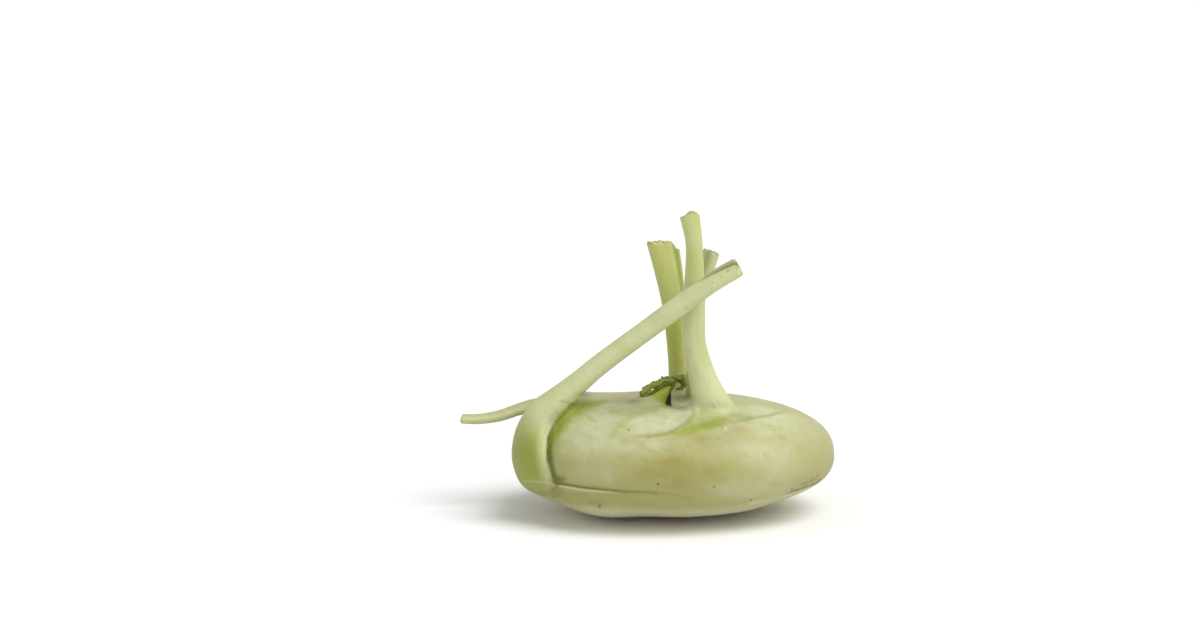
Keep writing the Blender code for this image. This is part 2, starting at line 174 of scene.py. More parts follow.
# Each stalk's melt into the bulb, its skin's painted shade, and its trench's place and half width across the
# slice
TRAITS = {
    "leaf_stalk_left": (1.2, 0.0, 0.0, 0.24),
    "leaf_stalk_front": (3.6, 0.05, 0.0, 0.30),
    "leaf_stalk_back": (3.5, 0.0, 0.30, 0.11),
    "leaf_stalk_rear": (3.0, 0.10, 0.0, 0.30),
    "leaf_stalk_low": (3.0, 0.05, 0.0, 0.30),
    "tuft_base": (1.6, 0.3, 0.0, 0.30),
}

# Lines on the front of the bulb, as points of distance from the middle and height seen from the front
SHEATH_EDGE = [(-36.4, 8.8), (-37.3, 11.5), (-38.3, 15.3), (-38.8, 19.0), (-38.5, 22.8), (-37.2, 26.2),
               (-35.4, 29.5), (-34.2, 31.4), (-32.5, 32.5), (-29.2, 34.5), (-26.4, 36.8)]
SHEATH_FOOT = [(-46.0, 9.3), (-41.0, 9.1), (-37.2, 8.6)]
SHEATH_ARMPIT = [(-34.5, 34.0), (-32.4, 33.7), (-31.0, 32.9)]
BELLY_CREASE = [(-36.6, 8.9), (-33.0, 8.2), (-28.3, 7.4), (-23.5, 6.9), (-18.8, 6.5), (-14.0, 6.0),
                (-4.6, 5.8), (-1.7, 5.5), (2.5, 4.8), (6.3, 3.9)]
BELLY_CREASE_TWO = [(-20.0, 5.9), (-14.0, 5.2), (-6.9, 4.7), (0.2, 4.1), (5.0, 3.8)]
VALLEY = [(7.3, 25.2), (12.0, 26.1), (15.8, 27.2), (19.1, 27.8)]
SLIT = [(12.5, 34.1), (13.8, 32.4)]
LOW_RIGHT_SCAR = [(24.0, 3.2), (29.0, 4.0), (35.6, 5.5), (39.1, 6.7), (42.6, 7.9), (44.9, 8.9), (46.0, 9.7)]
LOW_RIGHT_SCAR_TWO = [(39.8, 8.1), (42.3, 9.0), (44.4, 10.3), (45.2, 11.2)]
LEFT_WING = [(-18.8, 23.4), (-10.3, 23.1), (-6.5, 23.3), (-2.7, 23.8), (0.2, 24.5), (3.0, 25.9), (5.4, 27.4),
             (6.8, 29.4), (7.3, 31.4), (6.8, 33.7), (5.6, 37.1)]
RIGHT_WING = [(7.4, 26.0), (10.0, 25.9), (13.1, 26.2), (18.7, 27.4), (24.2, 28.7), (30.5, 29.7), (35.5, 31.2),
              (40.0, 31.0)]

# The right side of the left wing's shelf, as heights seen and distances from the middle
SHELF_SIDE = [(23.8, -2.7), (24.5, 0.2), (25.9, 3.0), (27.4, 5.4), (29.4, 6.8), (31.4, 7.3), (33.7, 6.8),
              (37.1, 5.6)]

# Two small places on the front: the pit at the sheath's lower corner, and a pale nub under the tall stalk
CORNER_PIT = (-34.8, 9.8)
PALE_NUB = (16.4, 25.4)

# The dip of the bulb's skin beside the sheath's edge
BED_WIDTH = 4.2
BED_DEPTH = 3.0

# A small tube of flesh beside the young leaves, painted near black as the shade in a hole there
SHADE_TUBE_PATH = [(-1.85, -5.4, 34.5), (-1.80, -5.4, 35.4), (-1.0, -5.2, 37.9)]
SHADE_TUBE_RADII = [1.25, 1.35, 0.5]
TUBE_SAMPLES = 48

# Leaf scars round the sides and the back, each as its turn in degrees, height, half length and sag
BACK_SCARS = [(24.0, 25.5, 12.0, 3.0), (62.0, 21.5, 14.0, 3.5), (104.0, 25.0, 13.0, 3.2),
              (141.0, 19.5, 12.0, 3.0), (84.0, 13.5, 7.0, 1.4), (38.0, 12.0, 6.0, 1.2),
              (124.0, 11.0, 6.0, 1.2)]

# The bulb's mean half width, which turns the scars' degrees into millimetres
MEAN_RADIUS = 46.0

# Fine lines in the relief of the front, each with its half width and its height, below 0 for a crease
RELIEF_LINES = [
    (BELLY_CREASE_TWO, 0.5, -0.22),
    (LOW_RIGHT_SCAR, 0.55, -0.40),
    (LEFT_WING[:5], 0.5, -0.22),
    (RIGHT_WING[4:], 0.6, -0.14),
    (SLIT, 0.4, 0.35),
]

# Dark green lines on the front, partly the skin's own green and partly painted shade along its folds, each
# with its half width and strength
GROOVE_SHADE_LINES = [
    (SHEATH_ARMPIT, 0.35, 0.35),
    (LEFT_WING[1:5], 0.35, 0.3),
    (LEFT_WING[4:], 0.6, 0.10),
    (RIGHT_WING[4:7], 0.3, 0.12),
]

# Yellow-green streaks in the skin, and one line of painted shade beside the slit, each with its half width
# and strength
FRESH_AND_SHADE_LINES = [
    ([(-5.5, 31.1), (-14.0, 30.2), (-18.8, 30.7)], 1.2, 0.55),
    ([(-13.1, 29.0), (-16.9, 26.4), (-18.8, 22.8)], 1.0, 0.35),
    ([(-25.9, 29.0), (-24.0, 27.8)], 0.55, 0.6),
    ([(1.0, 24.1), (3.0, 24.5), (9.7, 26.2), (12.5, 27.3), (19.1, 29.7), (23.9, 29.0)], 1.2, 0.8),
    ([(-31.0, 32.6), (-28.3, 33.0), (-23.5, 33.5), (-20.7, 34.2)], 0.8, 0.8),
    ([(-33.0, 15.5), (-31.0, 14.5)], 1.8, 0.4),
    ([(-14.0, 5.2), (-23.0, 5.7)], 0.7, 0.7),
    ([(16.0, 14.0), (20.0, 16.5)], 1.5, 0.35),
    # Painted shade beside the slit
    ([(11.9, 34.0), (13.1, 32.1)], 0.5, 0.9),
    ([(-8.0, 23.0), (-4.0, 23.4), (0.2, 24.2)], 0.45, 0.9),
    ([(5.0, 24.6), (8.5, 25.6), (11.5, 26.2), (14.0, 27.0)], 1.7, 0.9),
    ([(28.5, 17.5), (29.3, 16.6)], 0.5, 0.6),
    ([(22.0, 17.6), (23.5, 16.9)], 0.5, 0.5),
]

# Greyish mauve patches on the crown: place across, height seen, half width, half height and strength
MAUVE_PATCHES = [(-14.0, 34.3, 4.2, 0.9, 1.0), (2.6, 34.4, 3.2, 0.8, 1.0), (-11.5, 33.6, 2.0, 0.4, 0.8),
                 (1.5, 36.8, 3.0, 0.7, 0.7)]

# Patches of painted shade, greenish, in the crown's hollow
HOLLOW_SHADE_PATCHES = [(2.0, 35.5, 3.6, 0.75, 0.9), (4.6, 35.4, 1.6, 1.0, 0.6), (-20.5, 33.9, 3.6, 0.35, 0.5),
                  (-24.5, 32.9, 2.2, 0.4, 0.5)]

# Dry brown patches, duller ones on the belly, and paler ones of painted sheen on the waxy bloom at its sides,
# laid out the same way
BROWN_PATCHES = [(-27.2, 36.1, 1.7, 0.7, 1.0), (-11.8, 34.2, 1.2, 0.3, 0.5), (-24.0, 2.6, 3.2, 0.9, 0.35)]
OLIVE_PATCHES = [(4.5, 11.2, 10.5, 4.6, 1.25), (-11.5, 12.5, 4.0, 3.0, 0.5), (1.5, 19.0, 3.0, 2.0, 0.4),
                 (-1.0, 15.5, 7.0, 2.2, 0.7), (-5.0, 12.0, 4.0, 2.6, 0.6), (-16.0, 10.0, 5.0, 2.2, 0.5),
                 (13.0, 9.0, 5.0, 3.0, 0.4), (9.0, 22.5, 9.0, 3.0, 0.8), (19.0, 25.5, 6.0, 2.5, 0.45),
                 (17.0, 19.0, 8.0, 4.0, 0.5)]
BLOOM_SHEEN_PATCHES = [(34.0, 14.0, 7.0, 8.0, 0.6), (25.0, 19.0, 5.0, 5.0, 0.5), (-1.0, 31.5, 7.0, 2.0, 0.8),
                (-27.0, 22.0, 4.0, 4.0, 0.5), (-18.0, 29.0, 8.0, 3.2, 0.8), (-22.0, 24.5, 7.0, 5.0, 0.9),
                (-22.0, 11.0, 8.0, 3.0, 0.5), (22.0, 6.5, 12.0, 3.5, 0.7), (-30.0, 19.0, 5.0, 6.0, 0.5),
                (-6.0, 20.5, 2.8, 2.2, 0.7), (-16.0, 19.5, 6.0, 1.5, 0.5)]

# How many shallow marks lie on the front
DIMPLES = 46

# Brown specks on the front: place across, height seen, radius and strength
SPECKS = [(-13.5, 25.1, 0.35, 0.7), (-4.5, 8.4, 0.45, 0.7), (12.8, 7.5, 0.35, 0.7), (-5.1, 5.3, 0.3, 0.5),
          (24.3, 3.4, 0.35, 0.7), (31.4, 25.1, 0.3, 0.3), (37.0, 6.8, 0.4, 0.6), (-22.6, 1.5, 0.6, 0.5),
          (14.2, 22.3, 0.25, 0.4), (15.8, 25.8, 0.35, 0.35), (17.2, 74.4, 0.3, 0.6), (15.0, 72.4, 0.25, 0.5),
          (12.3, 70.8, 0.25, 0.5), (12.2, 68.9, 0.25, 0.4), (4.2, 63.0, 0.25, 0.4), (6.7, 81.3, 0.2, 0.4),
          (-21.5, 43.3, 0.25, 0.4)]

# Far enough from the front that no speck reaches the points of the back
OUT_OF_REACH = 99.0

# How near the skin the bulb's swells are worked out, and where distances are cut off, in millimetres
SWELL_REACH = 8.0
FIELD_LIMIT = 9.0

# How far round a stalk and round the tube of painted shade the field is worked out
STALK_MARGIN = 6.0
SHADE_TUBE_MARGIN = 3.0

# How softly the sole and the tube of painted shade meet the rest
SOLE_MELT = 0.8
SHADE_TUBE_MELT = 0.4

# How often and how far the flesh's points are drawn to the mean of their neighbours
RELAX_ROUNDS = 2
RELAX_SHARE = 0.5

# How much of each draw is given back, so that the flesh doesn't shrink
GIVEN_BACK = 1.04

# How far from the bulb's bare form the relief has faded out, and how near it is whole
RELIEF_OUT = 0.30
RELIEF_WHOLE = 0.12

# How near a stalk the skin takes its paint, in millimetres
PAINT_REACH = 2.5

# The grain's scale across it, and along a stalk, where it is drawn out into fibres
GRAIN_ACROSS = 0.5
GRAIN_ALONG = 0.08

# The seeds of the random draws
DIMPLE_SEED = 7
BLADE_SEED = 11
ROOT_SEED = 5


def smooth_step(low, high, value):
    share = np.clip((value - low) / (high - low), 0.0, 1.0)
    return share * share * (3.0 - 2.0 * share)


def band(value, start, full, fading, end):
    """1 in the middle of a range, rising to it from its start and falling from it to its end."""
    return smooth_step(start, full, value) * smooth_step(end, fading, value)


def hump(value, middle, half_width):
    return np.exp(-(((value - middle) / half_width) ** 2))


def smooth_union(first, second, width):
    """The nearer of two distances, with a fillet of about this width where they meet."""
    share = np.clip(0.5 + 0.5 * (second - first) / width, 0.0, 1.0)
    return second + (first - second) * share - width * share * (1.0 - share)


def along(points, share):
    """A point on the smooth curve through a list of tuples, for a share from 0 to 1 of its length."""
    place = share * (len(points) - 1)
    index = min(int(place), len(points) - 2)
    t = place - index
    before = points[max(index - 1, 0)]
    start = points[index]
    end = points[index + 1]
    after = points[min(index + 2, len(points) - 1)]
    return [
        0.5 * (2 * b + (c - a) * t + (2 * a - 5 * b + 4 * c - d) * t * t + (3 * b - a - 3 * c + d) * t ** 3)
        for a, b, c, d in zip(before, start, end, after)
    ]


def station(rows, share, step):
    """What rows say at a share of their length, and the ways along them, outward and sideways there."""
    values = along(rows, share)
    ahead = along(rows, min(share + step, 1.0))
    behind = along(rows, max(share - step, 0.0))
    tangent = (Vector(ahead[:3]) - Vector(behind[:3])).normalized()
    facing = Vector(values[-3:])
    outer = (facing - tangent * facing.dot(tangent)).normalized()
    return values, tangent, outer, outer.cross(tangent)


def line_distance(x, v, points):
    """The distance, seen from the front, to a line of points."""
    nearest = np.full(x.shape, FAR)
    for (x0, v0), (x1, v1) in zip(points, points[1:]):
        length = (x1 - x0) ** 2 + (v1 - v0) ** 2
        share = np.clip(((x - x0) * (x1 - x0) + (v - v0) * (v1 - v0)) / length, 0.0, 1.0)
        gap = np.hypot(x - x0 - share * (x1 - x0), v - v0 - share * (v1 - v0))
        nearest = np.minimum(nearest, gap)
    return nearest


def line_height(x, points):
    ordered = sorted(points)
    return np.interp(x, [point[0] for point in ordered], [point[1] for point in ordered])


def stroke(x, v, points, half_width):
    """1 along a line of points, fading out over its half width."""
    return hump(line_distance(x, v, points), 0.0, half_width)


def strokes(x, v, lines):
    return sum(strength * stroke(x, v, points, half_width) for points, half_width, strength in lines)


def blot(x, v, across, up, wide, high):
    """1 at the middle of a soft oval, fading out over its half width and half height."""
    return hump(np.hypot((x - across) / wide, (v - up) / high), 0.0, 1.0)


def patch_share(x, v, patches):
    """How strongly a set of soft oval patches covers each point."""
    total = np.zeros_like(x)
    for across, up, wide, high, strength in patches:
        total = total + strength * blot(x, v, across, up, wide, high)
    return total


def seen_place(x, y, z):
    """Where a point shows from the front: its distance from the bulb's middle, and its height."""
    toward = z * math.sin(VIEW_TILT) - y * math.cos(VIEW_TILT)
    upward = z * math.cos(VIEW_TILT) + y * math.sin(VIEW_TILT)
    factor = CAMERA_DISTANCE / (CAMERA_DISTANCE - toward)
    return PICTURE_ACROSS + (x - PICTURE_ACROSS) * factor, PICTURE_UP + (upward - PICTURE_UP) * factor


class Stalk:
    """A stalk's centreline, cut into short samples that each carry their own slice."""

    SAMPLES = 90

    def __init__(self, name):
        self.melt, self.shade, self.trench_place, self.trench_width = TRAITS[name]
        self.edge = tuple(zip(*END_EDGES[name]))
        flat = [(*place, *sizes, *facing) for place, *sizes, facing in STALKS[name]]
        rows = []
        for index in range(self.SAMPLES):
            share = index / (self.SAMPLES - 1)
            values, tangent, outer, side = station(flat, share, 0.01)
            rows.append([*values[:8], *tangent, *outer, *side])
        table = np.array(rows)
        self.place = table[:, 0:3]
        self.width = table[:, 3]
        self.thickness = table[:, 4]
        self.channel = table[:, 5]
        self.wrap = table[:, 6]
        self.square = table[:, 7]
        self.tangent = table[:, 8:11]
        self.outer = table[:, 11:14]
        self.side = table[:, 14:17]
        steps = np.linalg.norm(np.diff(self.place, axis=0), axis=1)
        self.arc = np.concatenate([[0.0], np.cumsum(steps)])

    def local(self, points):
        """For each point: the share along the stalk, and its place across the slice there."""
        best = np.full(len(points), FAR)
        nearest = np.zeros(len(points), dtype=np.int64)
        for index in range(self.SAMPLES):
            gap = np.sum((points - self.place[index]) ** 2, axis=1)
            closer = gap < best
            best[closer] = gap[closer]
            nearest[closer] = index
        offset = points - self.place[nearest]
        ahead = np.einsum("ij,ij->i", offset, self.tangent[nearest])
        spacing = self.arc[-1] / (self.SAMPLES - 1)
        share = np.clip((nearest + ahead / spacing) / (self.SAMPLES - 1), 0.0, 1.0)
        place = share * (self.SAMPLES - 1)
        low = np.minimum(place.astype(np.int64), self.SAMPLES - 2)
        part = (place - low)[:, None]

        def blend(values):
            return values[low] * (1 - part) + values[low + 1] * part

        centre = blend(self.place)
        offset = points - centre
        across = np.einsum("ij,ij->i", offset, blend(self.side))
        out = np.einsum("ij,ij->i", offset, blend(self.outer))
        beyond = np.einsum("ij,ij->i", offset, blend(self.tangent))
        sizes = [blend(values[:, None])[:, 0] for values in
                 (self.width, self.thickness, self.channel, self.wrap, self.square)]
        return share, across, out, beyond, sizes

    def trench(self, across, width):
        """1 along the bottom of the trench of the inner face, fading to 0 at its sides."""
        return hump(across / width, self.trench_place, self.trench_width)

    def distance(self, points):
        share, across, out, beyond, (width, thickness, channel, wrap, square) = self.local(points)
        out = out + wrap * (2.0 * across / width) ** 2
        trench = channel * self.trench(across, width)
        out = np.where(out < 0.0, out - trench, out)
        half_width = 0.5 * width
        half_thickness = 0.5 * thickness
        reach = np.abs(across / half_width) ** square + np.abs(out / half_thickness) ** square
        reach = reach ** (1.0 / square)
        radius = np.hypot(across, out) / np.maximum(reach, 1e-6)
        gap = (reach - 1.0) * np.minimum(radius, 1.4 * half_thickness)
        torn = 0.22 * np.sin(2.9 * across + 0.6) + 0.16 * np.sin(4.7 * out + 1.9)
        edge = np.interp(across, *self.edge)
        past_end = np.where(share >= 0.9, beyond + (share - 1.0) * self.arc[-1] - torn - edge, WELL_INSIDE)
        before_start = np.where(share <= 0.0, -beyond, WELL_INSIDE)
        return np.maximum(np.maximum(gap, past_end), before_start)


def bulb_turn(x, y):
    return np.arctan2(y / HALF_DEPTH, x / HALF_WIDTH)


def bulb_lumps(x, y):
    turn = bulb_turn(x, y)
    return 1.0 + 0.012 * np.sin(2 * turn + 0.6) + 0.009 * np.sin(3 * turn + 2.1)


def bulb_reach(x, y, z):
    """1 on the bulb's bare form, less inside it and more outside."""
    lumps = bulb_lumps(x, y)
    radius = np.hypot(x / HALF_WIDTH, y / HALF_DEPTH) / lumps
    lift = np.where(z >= WAIST, (z - WAIST) / CROWN_RISE, (WAIST - z) / BELLY_DROP)
    square = np.where(z >= WAIST, CROWN_SQUARENESS, BELLY_SQUARENESS)
    return (radius ** square + np.abs(lift) ** square) ** (1.0 / square)


def sheath_bed(x, y, z):
    """How deep the bulb's skin dips beside the sheath's edge and under the sheath."""
    seen_x, v = seen_place(x, y, z)
    beside = np.clip(1.0 - (seen_x - edge_across(v)) / BED_WIDTH, 0.0, 1.15) ** 2
    return beside * smooth_step(4.0, -6.0, y) * band(z, 8.0, 11.5, 30.0, 36.0)


def broad_swell(x, y, z):
    """The broad forms of the skin: shoulders, belly fold, sheath's bed and the crown's hollow and swells."""
    front = smooth_step(-6.0, -14.0, y)
    left = hump(x, -2.0, 15.0) * hump(z, 32.0, 4.0) * smooth_step(10.0, 2.0, x)
    right = hump(x, 27.0, 13.0) * hump(z, 33.5, 3.5)
    foot = hump(x, 11.5, 9.0) * hump(z, 34.0, 4.5)
    shoulders = front * (1.1 * left + 0.9 * right + 1.2 * foot)
    corner = smooth_step(-20.0, -37.0, x) * smooth_step(28.0, 8.0, y) * band(z, 1.0, 7.0, 9.0, 13.0)
    hollow = blot(x, y, -1.0, -1.0, 11.0, 11.0) * smooth_step(25.0, 32.0, z)
    left_crown = blot(x, y, -24.0, 3.0, 10.0, 14.0) * smooth_step(24.0, 30.0, z)
    left_crown = left_crown + 0.9 * blot(x, y, -29.0, 2.0, 4.5, 9.0) * smooth_step(22.0, 28.0, z)
    web = blot(x, y, -31.0, -12.0, 8.0, 8.0) * smooth_step(24.0, 30.0, z)
    belly = hump(x, -24.0, 13.0) * smooth_step(12.0, 4.0, z) * smooth_step(4.0, -10.0, y)
    swell = shoulders + 0.5 * corner - 1.4 * hollow + 1.9 * left_crown + 3.6 * web + 2.2 * belly
    return swell - BED_DEPTH * sheath_bed(x, y, z)


def edge_across(v):
    """How far from the middle the sheath's edge lies at each height."""
    return np.interp(v, *zip(*[(height, across) for across, height in SHEATH_EDGE]))


def left_shelf(x, v):
    """1 on the plump shelf that the left wing bounds below and on its right, fading out from there."""
    inside = (v > line_height(x, LEFT_WING[:8])) & (x < np.interp(v, *zip(*SHELF_SIDE)))
    gap = np.where(inside, line_distance(x, v, LEFT_WING), 0.0)
    return band(gap, 0.0, 1.7, 4.0, 11.0) * smooth_step(-19.0, -7.0, x)


def dimples(x, v):
    """Shallow marks scattered over the front, each a short dent that lies across."""
    total = np.zeros_like(x)
    draw = np.random.default_rng(DIMPLE_SEED)
    for _ in range(DIMPLES):
        place_x = draw.uniform(-34.0, 44.0)
        place_v = draw.uniform(6.0, 31.0)
        length = draw.uniform(0.8, 2.6)
        width = draw.uniform(0.35, 0.7)
        lean = draw.uniform(-0.4, 0.3)
        depth = draw.uniform(0.08, 0.28)
        across = x - place_x
        upward = v - place_v - lean * across
        total = total - depth * np.exp(-((across / length) ** 2) - (upward / width) ** 2)
    return total


def back_scars(x, y, z):
    """How far the skin lifts above the leaf scars of the sides and back, and the lines below them."""
    lift = np.zeros_like(x)
    line = np.zeros_like(x)
    turn = np.degrees(bulb_turn(x, y))
    for middle, height, half, sag in BACK_SCARS:
        share = np.radians(turn - middle) * MEAN_RADIUS / half
        gap = z - height - sag * (share ** 2 - 1.0) - 0.5 * np.sin(2.3 * share + middle)
        fade = smooth_step(1.0, 0.6, np.abs(share))
        lift = lift + fade * (0.8 * band(gap, -0.5, 0.9, 1.2, 0.55 * half) - 0.30 * hump(gap, -0.3, 0.5))
        line = line + fade * hump(gap, -0.2, 0.45)
    return lift, line


def skin_relief(x, y, z):
    """The fine forms of the skin: wings, creases and scars, in millimetres of height."""
    front = smooth_step(-4.0, -12.0, y) * smooth_step(38.5, 36.0, z)
    back_lift = back_scars(x, y, z)[0]
    rise = bulb_reach(x, y, z) - 1.0
    x, v = seen_place(x, y, z)
    shelf = left_shelf(x, v) * (1.0 - 0.45 * smooth_step(1.0, 6.0, x))
    above_ridge = v - line_height(x, RIGHT_WING)
    ridge = band(above_ridge, -0.9, 1.3, 3.5, 9.5) * band(x, 6.7, 8.4, 32.0, 42.0)
    ridge = ridge * (0.75 + 0.45 * smooth_step(22.0, 13.0, x))
    valley = stroke(x, v, VALLEY, 1.5)
    fold = smooth_step(0.4, -0.5, v - line_height(x, BELLY_CREASE)) * band(x, -38.0, -35.0, -14.0, 6.0)
    scar = smooth_step(0.3, -0.4, v - line_height(x, LOW_RIGHT_SCAR)) * smooth_step(23.0, 30.0, x)
    crease = 0.45 * stroke(x, v, BELLY_CREASE, 0.55) * smooth_step(4.0, -16.0, x)
    nub = 0.35 * blot(x, v, *PALE_NUB, 0.6, 0.6)
    lip = 0.35 * smooth_step(-0.02, 0.02, rise)
    side = -1.0 + (1.0 + lip) * smooth_step(0.35, -0.35, x - edge_across(v))
    beside = 1.1 * stroke(x, v, SHEATH_EDGE[:8], 1.3) * side
    pit = 0.5 * blot(x, v, *CORNER_PIT, 1.8, 1.1)
    lines = strokes(x, v, RELIEF_LINES) - crease + nub + beside - pit
    forms = 1.1 * shelf + ridge - 0.45 * valley + 0.75 * fold + 0.5 * scar
    return front * (forms + lines + dimples(x, v)) + back_lift


def tube_distance(points, path, radii):
    """The distance from each point to a smooth tube through a path whose radius changes along it."""
    nearest = np.full(len(points), FAR)
    rows = [(*place, radius) for place, radius in zip(path, radii)]
    for index in range(TUBE_SAMPLES):
        values = along(rows, index / (TUBE_SAMPLES - 1))
        gap = np.linalg.norm(points - np.array(values[:3]), axis=1) - values[3]
        nearest = np.minimum(nearest, gap)
    return nearest


def box_round(places, margin, low, step, shape):
    """The part of the grid that lies within a margin of these places."""
    start = np.maximum(((places.min(0) - margin - low) / step).astype(int), 0)
    stop = np.minimum(((places.max(0) + margin - low) / step).astype(int) + 2, shape)
    return tuple(slice(a, b) for a, b in zip(start, stop))


def flesh_field(step):
    """The distance to the flesh at each point of the grid, negative inside, with the grid's low corner."""
    low, high = (np.array(corner) / MM for corner in CAD_BOX)
    low = low - GRID_MARGIN
    counts = np.ceil((high + GRID_MARGIN - low) / step).astype(int) + 1
    axes = [low[axis] + step * np.arange(counts[axis]) for axis in range(3)]
    x, y, z = np.meshgrid(*axes, indexing="ij")
    reach = bulb_reach(x, y, z)
    slope = np.sqrt(sum(part ** 2 for part in np.gradient(reach, step)))
    field = (reach - 1.0) / np.maximum(slope, 0.004)
    near = np.abs(field) < SWELL_REACH
    field[near] -= broad_swell(x[near], y[near], z[near])
    field = np.clip(field, -FIELD_LIMIT, FIELD_LIMIT)
    field = -smooth_union(-field, z - FLOOR_GAP, SOLE_MELT)

    def points_in(box):
        return np.stack([x[box].ravel(), y[box].ravel(), z[box].ravel()], axis=1)

    for name, stalk in STALK_SHAPES.items():
        box = box_round(stalk.place, 0.6 * stalk.width.max() + STALK_MARGIN, low, step, field.shape)
        distance = stalk.distance(points_in(box)).reshape(field[box].shape)
        melt = stalk.melt
        if name == "leaf_stalk_left":
            melt = melt + UPPER_MELT * smooth_step(25.0, 30.0, z[box])
        field[box] = smooth_union(field[box], distance, melt)
    box = box_round(np.array(SHADE_TUBE_PATH), max(SHADE_TUBE_RADII) + SHADE_TUBE_MARGIN, low, step, field.shape)
    shade_tube = tube_distance(points_in(box), SHADE_TUBE_PATH, SHADE_TUBE_RADII).reshape(field[box].shape)
    field[box] = smooth_union(field[box], shade_tube, SHADE_TUBE_MELT)
    return field, low


def surface_of(field, low, step):
    """A closed mesh of quads round the negative part of a field, one point for each crossed cell."""
    inside = field < 0.0
    cells = tuple(count - 1 for count in field.shape)
    total = np.zeros(cells, dtype=np.int8)
    corners = [(a, b, c) for a in (0, 1) for b in (0, 1) for c in (0, 1)]

    def shifted(values, corner):
        return values[tuple(slice(s, s + n) for s, n in zip(corner, cells))]

    for corner in corners:
        total += shifted(inside, corner)
    crossed = (total > 0) & (total < 8)
    numbers = np.full(cells, -1, dtype=np.int64)
    where = np.argwhere(crossed)
    numbers[crossed] = np.arange(len(where))
    heights = {corner: shifted(field, corner)[crossed] for corner in corners}
    place = np.zeros((len(where), 3))
    count = np.zeros(len(where))
    for first in corners:
        for axis in range(3):
            if first[axis] == 1:
                continue
            second = tuple(1 if number == axis else value for number, value in enumerate(first))
            a = heights[first]
            b = heights[second]
            change = (a < 0.0) != (b < 0.0)
            share = np.where(change, a / np.where(change, a - b, 1.0), 0.0)
            point = np.array(first, dtype=float) + np.eye(3)[axis] * share[:, None]
            place += point * change[:, None]
            count += change
    place = low + step * (where + place / count[:, None])
    quads = []
    for axis in range(3):
        one, two = [other for other in range(3) if other != axis]
        ahead = [slice(None)] * 3
        behind = [slice(None)] * 3
        ahead[axis] = slice(1, None)
        behind[axis] = slice(None, -1)
        here = inside[tuple(behind)]
        there = inside[tuple(ahead)]
        edges = np.argwhere(here != there)
        leaving = here[tuple(edges.T)]
        ring = []
        for step_one, step_two in ((0, 0), (-1, 0), (-1, -1), (0, -1)):
            cell = edges.copy()
            cell[:, one] += step_one
            cell[:, two] += step_two
            ring.append(numbers[tuple(cell.T)])
        ring = np.stack(ring, axis=1)
        flip = leaving if axis != 1 else ~leaving
        ring[flip] = ring[flip][:, ::-1]
        quads.append(ring)
    return place, np.concatenate(quads)


def mesh_from(name, places, faces):
    mesh = bpy.data.meshes.new(name)
    mesh.vertices.add(len(places))
    mesh.vertices.foreach_set("co", (places * MM).astype(np.float32).ravel())
    mesh.loops.add(faces.size)
    mesh.loops.foreach_set("vertex_index", faces.astype(np.int32).ravel())
    mesh.polygons.add(len(faces))
    mesh.polygons.foreach_set("loop_start", np.arange(0, faces.size, faces.shape[1], dtype=np.int32))
    mesh.update(calc_edges=True)
    mesh.validate()
    mesh.shade_smooth()
    return mesh


def relax(places, faces, rounds, share):
    """Draws each point towards the mean of its neighbours."""
    pairs = np.concatenate([faces[:, [a, b]] for a, b in ((0, 1), (1, 2), (2, 3), (3, 0))])
    pairs = np.unique(np.sort(pairs, axis=1), axis=0)
    ends = np.concatenate([pairs[:, 0], pairs[:, 1]])
    others = np.concatenate([pairs[:, 1], pairs[:, 0]])
    degree = np.bincount(ends, minlength=len(places))[:, None]
    for _ in range(rounds):
        for amount in (share, -share * GIVEN_BACK):
            mean = np.stack([np.bincount(ends, weights=places[others, axis], minlength=len(places))
                             for axis in range(3)], axis=1) / degree
            places = places + amount * (mean - places)
    return places


def normals_of(places, faces):
    diagonal_one = places[faces[:, 2]] - places[faces[:, 0]]
    diagonal_two = places[faces[:, 3]] - places[faces[:, 1]]
    normal = np.cross(diagonal_one, diagonal_two)
    total = np.zeros_like(places)
    for corner in range(4):
        for axis in range(3):
            total[:, axis] += np.bincount(faces[:, corner], weights=normal[:, axis], minlength=len(places))
    return total / np.maximum(np.linalg.norm(total, axis=1), 1e-12)[:, None]


STALK_SHAPES = {name: Stalk(name) for name in STALKS}


def add_value(mesh, name, values):
    layer = mesh.attributes.new(name, "FLOAT", "POINT")
    layer.data.foreach_set("value", np.ascontiguousarray(values, dtype=np.float32))


def add_vector(mesh, name, values):
    layer = mesh.attributes.new(name, "FLOAT_VECTOR", "POINT")
    layer.data.foreach_set("vector", np.ascontiguousarray(values, dtype=np.float32).ravel())


def add_object(name, data):
    thing = bpy.data.objects.new(name, data)
    bpy.context.scene.collection.objects.link(thing)
    return thing


def make_flesh():
    step = GRID_STEP
    field, low = flesh_field(step)
    places, faces = surface_of(field, low, step)
    places = relax(places, faces, RELAX_ROUNDS, RELAX_SHARE)
    normals = normals_of(places, faces)
    x, y, z = places.T
    on_bulb = smooth_step(RELIEF_OUT, RELIEF_WHOLE, np.abs(bulb_reach(x, y, z) - 1.0))
    places = places + normals * (skin_relief(x, y, z) * on_bulb)[:, None]
    mesh = mesh_from("kohlrabi_flesh", places, faces)
    paint_flesh(mesh, places)
    return add_object("kohlrabi_flesh", mesh)


def sheath_shade(places):
    """The sheath's painted shade: greener towards its middle than along its edge, and lower down than higher
    up.
    """
    x, v = seen_place(*places.T)
    inward = np.where(x < edge_across(v), line_distance(x, v, SHEATH_EDGE), 0.0)
    return 0.92 * smooth_step(0.0, 5.0, inward) * smooth_step(34.0, 17.0, v)


def extra_shade(name, places):
    """Where painted shade makes a stalk's skin greener than the rest of it."""
    if name == "leaf_stalk_left":
        return sheath_shade(places)
    return np.zeros(len(places))


